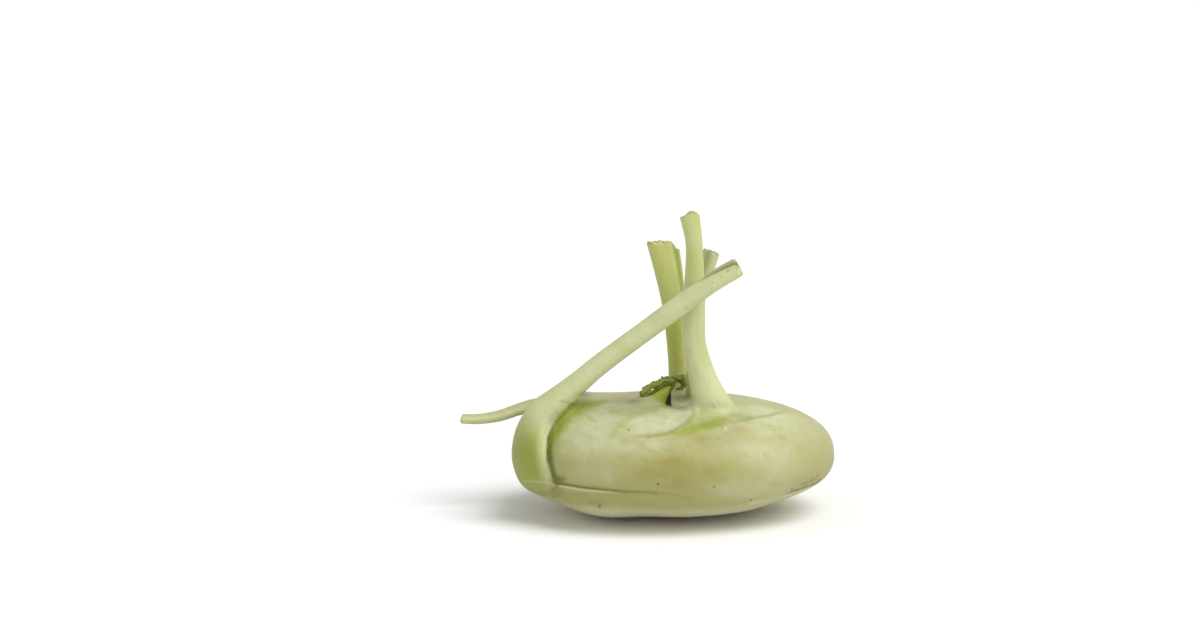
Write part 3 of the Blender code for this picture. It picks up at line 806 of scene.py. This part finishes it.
def ripeness(name, places):
    """Where a stalk's skin is yellower than the rest of it."""
    z = places[:, 2]
    if name == "leaf_stalk_front":
        return 0.30 * smooth_step(62.0, 84.0, z)
    if name == "leaf_stalk_back":
        return 0.48 + 0.28 * band(z, 38.0, 50.0, 54.0, 66.0)
    return np.zeros(len(places))


# The young leaves: narrow blades laid out by place across, height seen from the front, depth and width,
# then the way that each blade's upper face looks and how light its green is
BLADES = [
    ([(0.4, 40.6, -7.6, 1.6), (-1.6, 40.6, -7.9, 2.2), (-3.4, 40.5, -8.2, 2.3), (-5.7, 39.8, -8.4, 2.3),
      (-7.9, 38.7, -8.6, 2.3), (-9.1, 37.6, -8.8, 2.2), (-9.5, 36.8, -8.9, 2.0), (-9.3, 36.2, -9.0, 0.9)],
     (-0.30, -0.80, 0.55), 0.62),
    ([(-10.0, 36.2, -9.2, 1.0), (-8.6, 36.2, -9.4, 1.5), (-6.9, 36.8, -9.5, 0.9), (-5.2, 37.9, -9.4, 0.8),
      (-3.9, 38.9, -9.2, 1.0), (-2.4, 39.9, -8.8, 1.5)], (-0.45, -0.75, 0.45), 0.10),
    ([(-3.6, 41.9, -6.6, 0.5), (-2.7, 41.4, -6.6, 1.1), (-1.2, 41.4, -6.4, 1.8), (0.4, 41.4, -6.2, 2.2),
      (1.6, 41.7, -5.9, 2.2), (2.7, 42.1, -5.6, 1.8), (3.6, 42.4, -5.3, 0.8)], (0.0, -0.55, 0.85), 0.32),
    ([(2.4, 42.1, -5.8, 1.2), (3.2, 41.5, -5.6, 1.9), (3.6, 40.4, -5.4, 2.0), (3.6, 39.2, -5.3, 2.0),
      (2.9, 38.4, -5.3, 1.5), (1.9, 38.1, -5.4, 0.9), (0.8, 37.9, -5.6, 0.5)], (0.6, -0.75, 0.25), 0.22),
    ([(0.9, 41.2, -6.8, 1.2), (0.1, 40.3, -7.1, 2.2), (-0.2, 39.2, -7.4, 1.9), (-0.6, 37.9, -7.9, 1.1),
      (-1.1, 36.7, -8.4, 0.6)], (0.35, -0.9, 0.1), 0.05),
    ([(-3.5, 39.2, -8.8, 0.8), (-2.6, 39.9, -8.7, 1.5), (-1.3, 40.1, -8.4, 1.9), (0.2, 40.6, -7.8, 1.4)],
     (0.0, -0.9, 0.4), 0.08),
    ([(0.2, 40.8, -5.6, 1.6), (-1.0, 41.6, -4.2, 2.8), (-3.0, 41.3, -2.6, 3.2), (-4.6, 39.8, -1.4, 2.6),
      (-5.6, 38.2, -0.8, 0.9)], (-0.35, 0.45, 0.8), 0.45),
    ([(0.6, 40.8, -5.4, 1.6), (1.6, 41.6, -4.0, 2.6), (2.6, 40.9, -2.6, 2.8), (3.0, 39.4, -1.8, 1.0)],
     (0.4, 0.4, 0.8), 0.40),
]
BLADE_THICKNESS = 0.42
BLADE_ROWS = 52
BLADE_COLUMNS = 13
BLADE_POINTS = 2 * BLADE_ROWS * BLADE_COLUMNS


def blade_stations(spread, facing):
    rows = []
    for x, v, y, width in spread:
        z = (v - y * math.sin(VIEW_TILT)) / math.cos(VIEW_TILT)
        rows.append((x, y, z, width, *facing))
    return rows


def blade_rings(rows, draw):
    """A thin folded blade with toothed, crinkled edges, as rings that run over its face and back under it."""
    folds = draw.uniform(0.0, 6.28, 4)
    shares = np.linspace(-1.0, 1.0, BLADE_COLUMNS)
    rings = []
    for index in range(BLADE_ROWS):
        share = index / (BLADE_ROWS - 1)
        values, _, outer, side = station(rows, share, 0.02)
        width = max(values[3], 0.2)
        tooth = 0.13 * np.sin(31.0 * share + folds[0] + 0.8 * shares) + 0.10 * np.sin(53.0 * share + folds[1])
        across = 0.5 * width * shares * (1.0 + tooth * np.abs(shares) ** 2)
        crinkle = 0.07 * np.sin(22.0 * share + 3.0 * shares + folds[2]) * np.abs(shares)
        out = width * (-0.30 * np.abs(shares) ** 1.4 + crinkle + 0.05 * np.sin(9.0 * share + folds[3]))
        middle = np.array(values[:3]) + across[:, None] * np.array(side) + out[:, None] * np.array(outer)
        half = 0.5 * BLADE_THICKNESS * (1.0 - 0.5 * np.abs(shares) ** 3)[:, None] * np.array(outer)
        rings.append(np.concatenate([middle + half, (middle - half)[::-1]]))
    return np.concatenate(rings)


def ring_faces(rows, size, start):
    """The quads of a closed skin through rings that fold flat, with both ends shut."""
    faces = []
    for row in range(rows - 1):
        for step in range(size):
            after = (step + 1) % size
            low = start + row * size
            faces.append((low + step, low + after, low + size + after, low + size + step))
    half = size // 2
    for row, turned in ((0, True), (rows - 1, False)):
        base = start + row * size
        for step in range(half - 1):
            quad = (base + step, base + step + 1, base + size - 2 - step, base + size - 1 - step)
            faces.append(quad[::-1] if turned else quad)
    return faces


def make_young_leaves():
    draw = np.random.default_rng(BLADE_SEED)
    places = []
    faces = []
    lights = []
    for spread, facing, light in BLADES:
        faces.extend(ring_faces(BLADE_ROWS, 2 * BLADE_COLUMNS, len(places) * BLADE_POINTS))
        places.append(blade_rings(blade_stations(spread, facing), draw))
        lights.extend([light] * BLADE_POINTS)
    mesh = mesh_from("young_leaf_tuft", np.concatenate(places), np.array(faces))
    solid = bmesh.new()
    solid.from_mesh(mesh)
    bmesh.ops.recalc_face_normals(solid, faces=solid.faces)
    solid.to_mesh(mesh)
    solid.free()
    shares = np.abs(np.linspace(-1.0, 1.0, BLADE_COLUMNS))
    add_value(mesh, "edge", np.tile(shares, 2 * BLADE_ROWS * len(BLADES)))
    add_value(mesh, "light", lights)
    return add_object("young_leaf_tuft", mesh)


# The root disc's rings, from the middle of its underside outward and up, as radius and height
ROOT_RINGS = [(0.0, 0.05), (4.0, 0.0), (9.0, 0.05), (11.6, 0.0), (12.3, 0.12), (12.6, 0.5), (12.6, 2.2)]
ROOT_SIDES = 72
ROOT_SHARP_ANGLE = math.radians(40)


def make_root():
    """The woody disc underneath, where the root is trimmed off."""
    draw = np.random.default_rng(ROOT_SEED)
    phases = draw.uniform(0.0, 6.28, 3)
    turns = 2.0 * np.pi * np.arange(ROOT_SIDES) / ROOT_SIDES
    wobble = 1.0 + 0.012 * np.sin(3 * turns + phases[0]) + 0.010 * np.sin(7 * turns + phases[1])
    bm = bmesh.new()
    rings = []
    for radius, height in ROOT_RINGS[1:]:
        ring = [bm.verts.new((radius * w * math.cos(t) * MM, radius * w * math.sin(t) * MM, height * MM))
                for t, w in zip(turns, wobble)]
        rings.append(ring)
    for lower, upper in zip(rings, rings[1:]):
        for step in range(ROOT_SIDES):
            after = (step + 1) % ROOT_SIDES
            bm.faces.new((lower[step], lower[after], upper[after], upper[step]))
    for ring, height in ((rings[0], ROOT_RINGS[0][1]), (rings[-1], ROOT_RINGS[-1][1])):
        middle = bm.verts.new((0.0, 0.0, height * MM))
        for step in range(ROOT_SIDES):
            bm.faces.new((ring[step], ring[(step + 1) % ROOT_SIDES], middle))
    bmesh.ops.recalc_face_normals(bm, faces=bm.faces)
    mesh = bpy.data.meshes.new("root_disc")
    bm.to_mesh(mesh)
    bm.free()
    mesh.shade_smooth()
    mesh.set_sharp_from_angle(angle=ROOT_SHARP_ANGLE)
    return add_object("root_disc", mesh)


def stalk_paint(places):
    """What the nearest stalk says of each point, and how the skin's grain runs there."""
    away_from_bulb = smooth_step(0.02, 0.34, bulb_reach(*places.T) - 1.0)
    grain = GRAIN_ACROSS * places
    names = ("stalk", "shade", "ripe", "end_near", "channel", "tuft")
    paint = {name: np.zeros(len(places)) for name in names}
    nearest = np.full(len(places), FAR)
    for name, stalk in STALK_SHAPES.items():
        gap = np.abs(stalk.distance(places))
        share, across, out, beyond, (width, _, channel, _, _) = stalk.local(places)
        away = away_from_bulb
        if name == "leaf_stalk_left":
            away = np.maximum(away, smooth_step(1.4, 0.4, gap) * smooth_step(0.06, 0.16, share))
        mine = (gap < nearest) & (gap < PAINT_REACH)
        nearest[mine] = gap[mine]
        lengthwise = share * stalk.arc[-1]
        to_end = stalk.arc[-1] - lengthwise - np.where(share >= 1.0, beyond, 0.0)
        values = {
            "stalk": away,
            "shade": stalk.shade + extra_shade(name, places),
            "ripe": ripeness(name, places),
            "end_near": smooth_step(1.1, 0.0, to_end + np.interp(across, *stalk.edge)),
            "channel": stalk.trench(across, width) * (out < 0.0) * channel,
            "tuft": smooth_step(0.22, 0.42, share) * (1.0 if name == "tuft_base" else 0.0),
        }
        for key, value in values.items():
            paint[key][mine] = value[mine] if isinstance(value, np.ndarray) else value
        grain[mine] = np.stack([across, out, lengthwise * GRAIN_ALONG], axis=1)[mine]
    return paint, grain


def groove_share(x, v, inside):
    """Where the skin is dark green, partly its own green and partly painted shade: in the groove beside the
    sheath, in the corner pit and along the creases.
    """
    edge_gap = line_distance(x, v, SHEATH_EDGE)
    from_edge = x - edge_across(v)
    sunk = inside * smooth_step(-0.55, -0.2, from_edge) * smooth_step(10.0, 12.5, v)
    under_sheath = np.maximum(hump(edge_gap, 0.0, 0.35), sunk)
    groove_green_and_shade = np.where(from_edge > 0.0, smooth_step(2.1, 0.5, edge_gap), under_sheath)
    groove_green_and_shade = groove_green_and_shade * (1.0 - 0.75 * smooth_step(22.5, 30.0, v)) * smooth_step(36.5, 32.5, v)
    crease = (0.20 + 0.80 * smooth_step(0.0, -26.0, x)) * stroke(x, v, BELLY_CREASE, 0.42)
    return groove_green_and_shade + 0.9 * blot(x, v, *CORNER_PIT, 1.8, 1.0) + strokes(x, v, GROOVE_SHADE_LINES) + crease


def fan_share(x, v):
    """Where the skin is fresh green darkened as painted shade: in a fan beside the sheath and under the right
    wing.
    """
    reach = 2.6 + 3.4 * smooth_step(19.0, 30.0, v)
    fan_green_and_shade = smooth_step(reach, 0.35 * reach, line_distance(x, v, SHEATH_EDGE)) * (x > edge_across(v))
    return fan_green_and_shade * band(v, 13.0, 19.0, 32.5, 36.0) + 0.45 * stroke(x, v, RIGHT_WING[3:], 0.6)


def scar_share(x, v):
    scar = stroke(x, v, LOW_RIGHT_SCAR, 0.30) * smooth_step(33.0, 38.5, x)
    return scar + 0.8 * stroke(x, v, LOW_RIGHT_SCAR_TWO, 0.22)


def rim_share(x, v):
    """Where the skin is palest: painted highlight along the lower lips of the creases, and pale marks along
    the sheath's foot, in the slit and on the nub.
    """
    pale_marks_and_highlight = stroke(x, v + 0.7, BELLY_CREASE, 0.4) * smooth_step(-14.0, -24.0, x)
    pale_marks_and_highlight = pale_marks_and_highlight + 0.35 * stroke(x, v, SHEATH_FOOT, 0.3) + 0.6 * stroke(x, v + 0.8, LOW_RIGHT_SCAR, 0.5)
    return pale_marks_and_highlight + stroke(x, v, SLIT, 0.32) + blot(x, v, *PALE_NUB, 0.5, 0.5)


def paint_flesh(mesh, places):
    """Writes where the skin is stalk, groove, scar and so on, for the material to colour."""
    x, y, z = places.T
    paint, grain = stalk_paint(places)
    front = smooth_step(0.0, -8.0, y)
    beyond_front = smooth_step(11.0, 5.0, y)
    inside = smooth_step(0.0, -0.03, bulb_reach(x, y, z) - 1.0)
    back_line = 0.30 * back_scars(x, y, z)[1]
    bare = 1.0 - 0.5 * paint["stalk"]
    x, v = seen_place(x, y, z)
    shares = {
        "shade_tube": smooth_step(0.5, 0.2, tube_distance(places, SHADE_TUBE_PATH, SHADE_TUBE_RADII)),
        "fan_green_and_shade": fan_share(x, v) * front + back_line,
        "hollow": patch_share(x, v, HOLLOW_SHADE_PATCHES) * band(z, 30.0, 33.0, 38.0, 41.0),
        "groove_green_and_shade": groove_share(x, v, inside) * front + back_line,
        "scar": scar_share(x, v) * front,
        "pale_marks_and_highlight": rim_share(x, v) * smooth_step(8.0, 2.0, y),
        "crown": patch_share(x, v, MAUVE_PATCHES) * (1.0 - paint["stalk"]) * smooth_step(30.0, 33.0, z),
        "olive": patch_share(x, v, OLIVE_PATCHES) * front,
        "lit": (left_shelf(x, v) + blot(x, v, 30.0, 30.0, 12.0, 5.5)) * front,
        # Painted shade: darker tan over the lower part of the bulb
        "under": band(z, 3.0, 11.0, 14.0, 37.0) * bare,
        # Painted light bounced from the floor: paler at the bottom of the bulb
        "floor_bounce_light": smooth_step(9.5, 2.5, z) * bare,
        "dry": patch_share(x, v, BROWN_PATCHES) * smooth_step(12.0, 9.0, y),
        "fresh_green_and_shade": (strokes(x, v, FRESH_AND_SHADE_LINES) + 1.6 * np.clip(-dimples(x, v), 0.0, 0.35)) * beyond_front,
        "bloom_and_sheen": patch_share(x, v, BLOOM_SHEEN_PATCHES) * front,
    }
    for name, share in shares.items():
        add_value(mesh, name, np.clip(share, 0.0, 1.0))
    for name, values in paint.items():
        add_value(mesh, name, values)
    add_vector(mesh, "seen", np.stack([x, v, np.where(front > 0.0, 0.0, OUT_OF_REACH)], axis=1))
    add_vector(mesh, "grain", grain)


class Nodes:
    """A new material's shader nodes, with short ways to add and link them."""

    def __init__(self, name):
        self.material = bpy.data.materials.new(name)
        self.material.use_nodes = True
        self.tree = self.material.node_tree
        self.shader = self.tree.nodes["Principled BSDF"]
        self.place = self.add("ShaderNodeTexCoord").outputs["Object"]

    def add(self, kind, **settings):
        node = self.tree.nodes.new(kind)
        for name, value in settings.items():
            setattr(node, name, value)
        return node

    def link(self, output, target):
        self.tree.links.new(output, target)

    def attribute(self, name, output="Fac"):
        return self.add("ShaderNodeAttribute", attribute_name=name).outputs[output]

    def noise(self, vector, scale, detail=3.0, roughness=0.5, distortion=0.0):
        node = self.add("ShaderNodeTexNoise")
        node.inputs["Scale"].default_value = scale
        node.inputs["Detail"].default_value = detail
        node.inputs["Roughness"].default_value = roughness
        node.inputs["Distortion"].default_value = distortion
        self.link(vector, node.inputs["Vector"])
        return node.outputs["Fac"]

    def ramp(self, value, low, high):
        node = self.add("ShaderNodeMapRange", interpolation_type="SMOOTHSTEP")
        node.inputs["From Min"].default_value = low
        node.inputs["From Max"].default_value = high
        self.link(value, node.inputs["Value"])
        return node.outputs["Result"]

    def scale(self, value, factor):
        node = self.add("ShaderNodeMath", operation="MULTIPLY")
        self.link(value, node.inputs[0])
        if isinstance(factor, float):
            node.inputs[1].default_value = factor
        else:
            self.link(factor, node.inputs[1])
        return node.outputs["Value"]

    def shift(self, value, factor, start):
        """The value times a factor, counted from a starting share."""
        node = self.add("ShaderNodeMath", operation="MULTIPLY_ADD")
        self.link(value, node.inputs[0])
        node.inputs[1].default_value = factor
        node.inputs[2].default_value = start
        return node.outputs["Value"]

    def sum(self, first, second):
        node = self.add("ShaderNodeMath", operation="ADD")
        self.link(first, node.inputs[0])
        self.link(second, node.inputs[1])
        return node.outputs["Value"]

    def mix(self, share, first, second):
        """Mixes two colours, each an output or a plain colour."""
        node = self.add("ShaderNodeMix", data_type="RGBA")
        self.link(share, node.inputs[0])
        for number, colour in ((6, first), (7, second)):
            if isinstance(colour, tuple):
                node.inputs[number].default_value = (*colour, 1.0)
            else:
                self.link(colour, node.inputs[number])
        return node.outputs[2]

    def layer(self, name, amount, under, over):
        """Lays a colour over another as far as an attribute of the mesh says, times an amount."""
        return self.mix(self.scale(self.attribute(name), amount), under, over)

    def bump(self, height, strength, distance, under=None):
        node = self.add("ShaderNodeBump")
        node.inputs["Strength"].default_value = strength
        node.inputs["Distance"].default_value = distance
        self.link(height, node.inputs["Height"])
        if under is not None:
            self.link(under, node.inputs["Normal"])
        return node.outputs["Normal"]

    def shine(self, roughness, gloss):
        self.shader.inputs["Roughness"].default_value = roughness
        self.shader.inputs["Specular IOR Level"].default_value = gloss

    def finish(self, colour, normal, shine):
        self.link(colour, self.shader.inputs["Base Color"])
        self.link(normal, self.shader.inputs["Normal"])
        self.shine(*shine)
        return self.material


PALE = (0.495, 0.492, 0.262)
PALEST = (0.640, 0.645, 0.430)
FRESH = (0.370, 0.395, 0.120)
STALK_PALE = (0.585, 0.600, 0.335)
STALK_GREEN = (0.450, 0.490, 0.165)
SHADED_STALK = (0.265, 0.295, 0.030)
TUFT_GREEN = (0.360, 0.405, 0.045)
RIPE_STALK = (0.430, 0.465, 0.035)
FRESH_GREEN_AND_SHADE = (0.285, 0.330, 0.040)
FAN_GREEN_AND_SHADE = (0.230, 0.290, 0.008)
FLOOR_BOUNCE_PALE = (0.900, 0.820, 0.620)
BLOOM_SHEEN = (0.610, 0.610, 0.430)
DEEP_GREEN_AND_SHADE = (0.095, 0.125, 0.001)
UNDER_SHADE_TAN = (0.330, 0.310, 0.105)
OLIVE_TAN = (0.300, 0.262, 0.070)
HOLLOW_SHADE_OLIVE = (0.190, 0.195, 0.060)
MAUVE = (0.330, 0.290, 0.220)
BROWN = (0.110, 0.070, 0.015)
DRY_BROWN = (0.170, 0.135, 0.060)
HOLE_SHADE_BLACK = (0.018, 0.026, 0.001)
LEAF_DARK = (0.058, 0.092, 0.001)
LEAF_LIGHT = (0.360, 0.395, 0.085)
WOOD_TAN = (0.330, 0.270, 0.130)
WOOD_DARK = (0.150, 0.110, 0.045)
WHITE = (1.0, 1.0, 1.0, 1.0)
FLOOR_GREY = (0.93, 0.93, 0.93, 1.0)

# Each material's roughness and gloss
FLESH_SHINE = (0.47, 0.30)
LEAF_SHINE = (0.55, 0.18)
ROOT_SHINE = (0.8, 0.15)
FLOOR_SHINE = (0.9, 0.0)

# How far light goes into the flesh: its share, its reach by colour, and the reach's length in metres
FLESH_GLOW = 0.10
GLOW_REACH = (1.0, 0.9, 0.35)
GLOW_LENGTH = 0.0020


def flesh_colour(nodes):
    """The bulb's skin and the stalks' skin, mixed, with the marks of both laid over them."""
    place = nodes.place
    grain = nodes.attribute("grain", "Vector")
    patches = nodes.ramp(nodes.noise(place, 60.0, 4.0, 0.55, 0.6), 0.40, 0.66)
    pale_spots = nodes.ramp(nodes.noise(place, 130.0, 4.0, 0.6, 0.8), 0.50, 0.72)
    mottle = nodes.ramp(nodes.noise(place, 330.0, 4.0, 0.6), 0.42, 0.72)
    uneven = nodes.ramp(nodes.noise(place, 75.0, 5.0, 0.6, 1.0), 0.30, 0.62)
    cloudy = nodes.noise(place, 110.0, 4.0, 0.6, 0.3)
    streaks = nodes.ramp(nodes.noise(grain, 0.9, 4.0, 0.6), 0.44, 0.72)
    blotches = nodes.ramp(nodes.noise(place, 95.0, 3.0, 0.5), 0.45, 0.70)
    scar_noise = nodes.ramp(nodes.noise(place, 700.0, 3.0), 0.40, 0.62)
    end_noise = nodes.ramp(nodes.noise(place, 700.0, 3.0), 0.44, 0.64)
    skin = nodes.mix(nodes.scale(patches, 0.60), PALE, FRESH)
    skin = nodes.layer("lit", 0.85, skin, PALEST)
    skin = nodes.mix(nodes.scale(pale_spots, 0.45), skin, PALEST)
    # Painted shade: darker tan over the lower part of the bulb
    skin = nodes.layer("under", 0.85, skin, UNDER_SHADE_TAN)
    skin = nodes.layer("olive", nodes.shift(uneven, 0.35, 0.58), skin, OLIVE_TAN)
    # Painted sheen: paler patches where the waxy bloom catches the light
    skin = nodes.layer("bloom_and_sheen", nodes.shift(cloudy, 0.90, 0.10), skin, BLOOM_SHEEN)
    # Painted light bounced from the floor: paler at the bottom of the bulb
    skin = nodes.layer("floor_bounce_light", 0.85, skin, FLOOR_BOUNCE_PALE)
    # Yellow-green streaks, and painted shade beside the slit
    skin = nodes.layer("fresh_green_and_shade", nodes.shift(uneven, 0.30, 0.60), skin, FRESH_GREEN_AND_SHADE)
    skin = nodes.mix(nodes.scale(mottle, 0.30), skin, FRESH)
    stem = nodes.mix(nodes.scale(streaks, 0.30), STALK_PALE, STALK_GREEN)
    stem = nodes.mix(nodes.scale(blotches, 0.40), stem, STALK_GREEN)
    stem = nodes.layer("shade", 1.0, stem, SHADED_STALK)
    stem = nodes.layer("ripe", 1.0, stem, RIPE_STALK)
    tuft = nodes.mix(nodes.scale(streaks, 0.5), TUFT_GREEN, STALK_GREEN)
    colour = nodes.layer("stalk", 1.0, skin, stem)
    colour = nodes.layer("crown", 0.65, colour, MAUVE)
    colour = nodes.layer("tuft", 1.0, colour, tuft)
    # Painted shade in the crown's hollow
    colour = nodes.layer("hollow", nodes.shift(mottle, 0.35, 0.50), colour, HOLLOW_SHADE_OLIVE)
    # Painted highlight on the creases' lower lips, with the skin's pale marks
    colour = nodes.layer("pale_marks_and_highlight", 0.80, colour, PALEST)
    # Painted shade: darker fresh green beside the sheath and under the right wing
    colour = nodes.layer("fan_green_and_shade", 0.80, colour, FAN_GREEN_AND_SHADE)
    # Painted shade: dark green in the groove, the corner pit and the creases, partly the skin's own green
    colour = nodes.layer("groove_green_and_shade", 0.90, colour, DEEP_GREEN_AND_SHADE)
    # Painted shade: darker green in the trench of each stalk's inner face
    colour = nodes.layer("channel", 0.40, colour, DEEP_GREEN_AND_SHADE)
    colour = nodes.layer("scar", nodes.shift(scar_noise, 0.5, 0.45), colour, BROWN)
    colour = with_specks(nodes, colour)
    colour = nodes.layer("dry", nodes.shift(scar_noise, 0.6, 0.35), colour, DRY_BROWN)
    # Painted shade: the tube beside the young leaves is near black
    colour = nodes.layer("shade_tube", 1.0, colour, HOLE_SHADE_BLACK)
    return nodes.layer("end_near", nodes.scale(end_noise, 0.50), colour, BROWN)


def with_specks(nodes, colour):
    seen = nodes.attribute("seen", "Vector")
    ragged = nodes.scale(nodes.noise(nodes.place, 1500.0, 2.0), 0.5)
    for speck_x, speck_v, radius, strength in SPECKS:
        gap = nodes.add("ShaderNodeVectorMath", operation="DISTANCE")
        nodes.link(seen, gap.inputs[0])
        gap.inputs[1].default_value = (speck_x, speck_v, 0.0)
        spot = nodes.ramp(nodes.sum(gap.outputs["Value"], ragged), radius + 0.40, radius + 0.05)
        colour = nodes.mix(nodes.scale(spot, strength), colour, BROWN)
    return colour


def flesh_material():
    nodes = Nodes("kohlrabi_skin")
    nodes.shader.inputs["Subsurface Weight"].default_value = FLESH_GLOW
    nodes.shader.inputs["Subsurface Radius"].default_value = GLOW_REACH
    nodes.shader.inputs["Subsurface Scale"].default_value = GLOW_LENGTH
    along_grain = nodes.noise(nodes.attribute("grain", "Vector"), 1.4, 3.0, 0.5)
    fine = nodes.bump(nodes.noise(nodes.place, 1300.0, 3.0, 0.6), 0.25, 0.0002)
    dents = nodes.bump(nodes.noise(nodes.place, 170.0, 4.0, 0.58), 0.50, 0.0011, fine)
    fibres = nodes.bump(nodes.scale(along_grain, nodes.attribute("stalk")), 0.25, 0.0005, dents)
    return nodes.finish(flesh_colour(nodes), fibres, FLESH_SHINE)


def leaf_material():
    nodes = Nodes("young_leaf_skin")
    patches = nodes.ramp(nodes.noise(nodes.place, 420.0, 3.0, 0.6), 0.36, 0.66)
    edge = nodes.ramp(nodes.attribute("edge"), 0.60, 1.0)
    vein = nodes.ramp(nodes.attribute("edge"), 0.16, 0.0)
    colour = nodes.layer("light", 1.0, LEAF_DARK, LEAF_LIGHT)
    colour = nodes.mix(nodes.scale(patches, 0.25), colour, LEAF_LIGHT)
    colour = nodes.mix(nodes.scale(edge, 0.50), colour, LEAF_DARK)
    colour = nodes.mix(nodes.scale(vein, 0.35), colour, LEAF_LIGHT)
    puckers = nodes.bump(nodes.noise(nodes.place, 900.0, 3.0, 0.6), 0.35, 0.0003)
    return nodes.finish(colour, puckers, LEAF_SHINE)


def root_material():
    nodes = Nodes("cut_root_wood")
    rings = nodes.add("ShaderNodeTexWave", wave_type="RINGS", rings_direction="Z")
    rings.inputs["Scale"].default_value = 180.0
    rings.inputs["Distortion"].default_value = 4.0
    rings.inputs["Detail"].default_value = 3.0
    nodes.link(nodes.place, rings.inputs["Vector"])
    fibres = nodes.ramp(nodes.noise(nodes.place, 500.0, 4.0, 0.6), 0.35, 0.70)
    colour = nodes.mix(nodes.scale(rings.outputs["Fac"], 0.55), WOOD_TAN, WOOD_DARK)
    colour = nodes.mix(nodes.scale(fibres, 0.45), colour, WOOD_DARK)
    return nodes.finish(colour, nodes.bump(fibres, 0.4, 0.0004), ROOT_SHINE)


def floor_material():
    nodes = Nodes("pale_floor")
    nodes.shader.inputs["Base Color"].default_value = FLOOR_GREY
    nodes.shine(*FLOOR_SHINE)
    return nodes.material


FLOOR_HALF = 12.0


def make_stage():
    mesh = bpy.data.meshes.new("floor")
    corners = [(-FLOOR_HALF, -FLOOR_HALF, 0), (FLOOR_HALF, -FLOOR_HALF, 0), (FLOOR_HALF, FLOOR_HALF, 0),
               (-FLOOR_HALF, FLOOR_HALF, 0)]
    mesh.from_pydata(corners, [], [(0, 1, 2, 3)])
    mesh.materials.append(floor_material())
    floor = add_object("floor", mesh)


# Two soft lamps, each as its name, strength and aim
LAMPS = [("soft_top", 2.15, (-0.58, 0.36, -1.0)), ("soft_front", 0.45, (0.0, 1.0, -0.05))]
LAMP_SIZE = math.radians(45)
SKY_STRENGTH = 0.56


def make_lights():
    world = bpy.data.worlds.new("studio")
    world.use_nodes = True
    sky = world.node_tree.nodes["Background"]
    sky.inputs["Color"].default_value = WHITE
    sky.inputs["Strength"].default_value = SKY_STRENGTH
    bpy.context.scene.world = world
    for name, strength, aim in LAMPS:
        sun = bpy.data.lights.new(name, "SUN")
        sun.energy = strength
        sun.angle = LAMP_SIZE
        add_object(name, sun).rotation_euler = Vector(aim).to_track_quat("-Z", "Y").to_euler()


SENSOR = 36.0


def make_camera():
    back = Vector((0.0, -math.cos(VIEW_TILT), math.sin(VIEW_TILT)))
    upward = Vector((0.0, math.sin(VIEW_TILT), math.cos(VIEW_TILT)))
    target = Vector((PICTURE_ACROSS, 0.0, 0.0)) + upward * PICTURE_UP
    data = bpy.data.cameras.new("camera")
    data.sensor_width = SENSOR
    data.lens = SENSOR * CAMERA_DISTANCE / (PHOTO_WIDTH * MM_PER_PIXEL)
    data.clip_end = 50.0
    camera = add_object("camera", data)
    camera.location = (target + back * CAMERA_DISTANCE) * MM
    camera.rotation_euler = (math.pi / 2 - VIEW_TILT, 0.0, 0.0)
    bpy.context.scene.camera = camera


make_stage()
make_lights()
make_camera()
bpy.context.scene.view_settings.view_transform = "Standard"

flesh = make_flesh()
flesh.data.materials.append(flesh_material())
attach(flesh, "root")
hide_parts("bulb", "leaf_stalk_left", "leaf_stalk_front", "leaf_stalk_back", "leaf_stalk_rear",
            "leaf_stalk_low")

leaves = make_young_leaves()
leaves.data.materials.append(leaf_material())
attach(leaves, "root")
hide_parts("young_leaves")

root = make_root()
root.data.materials.append(root_material())
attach(root, "root")
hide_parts("bulb")
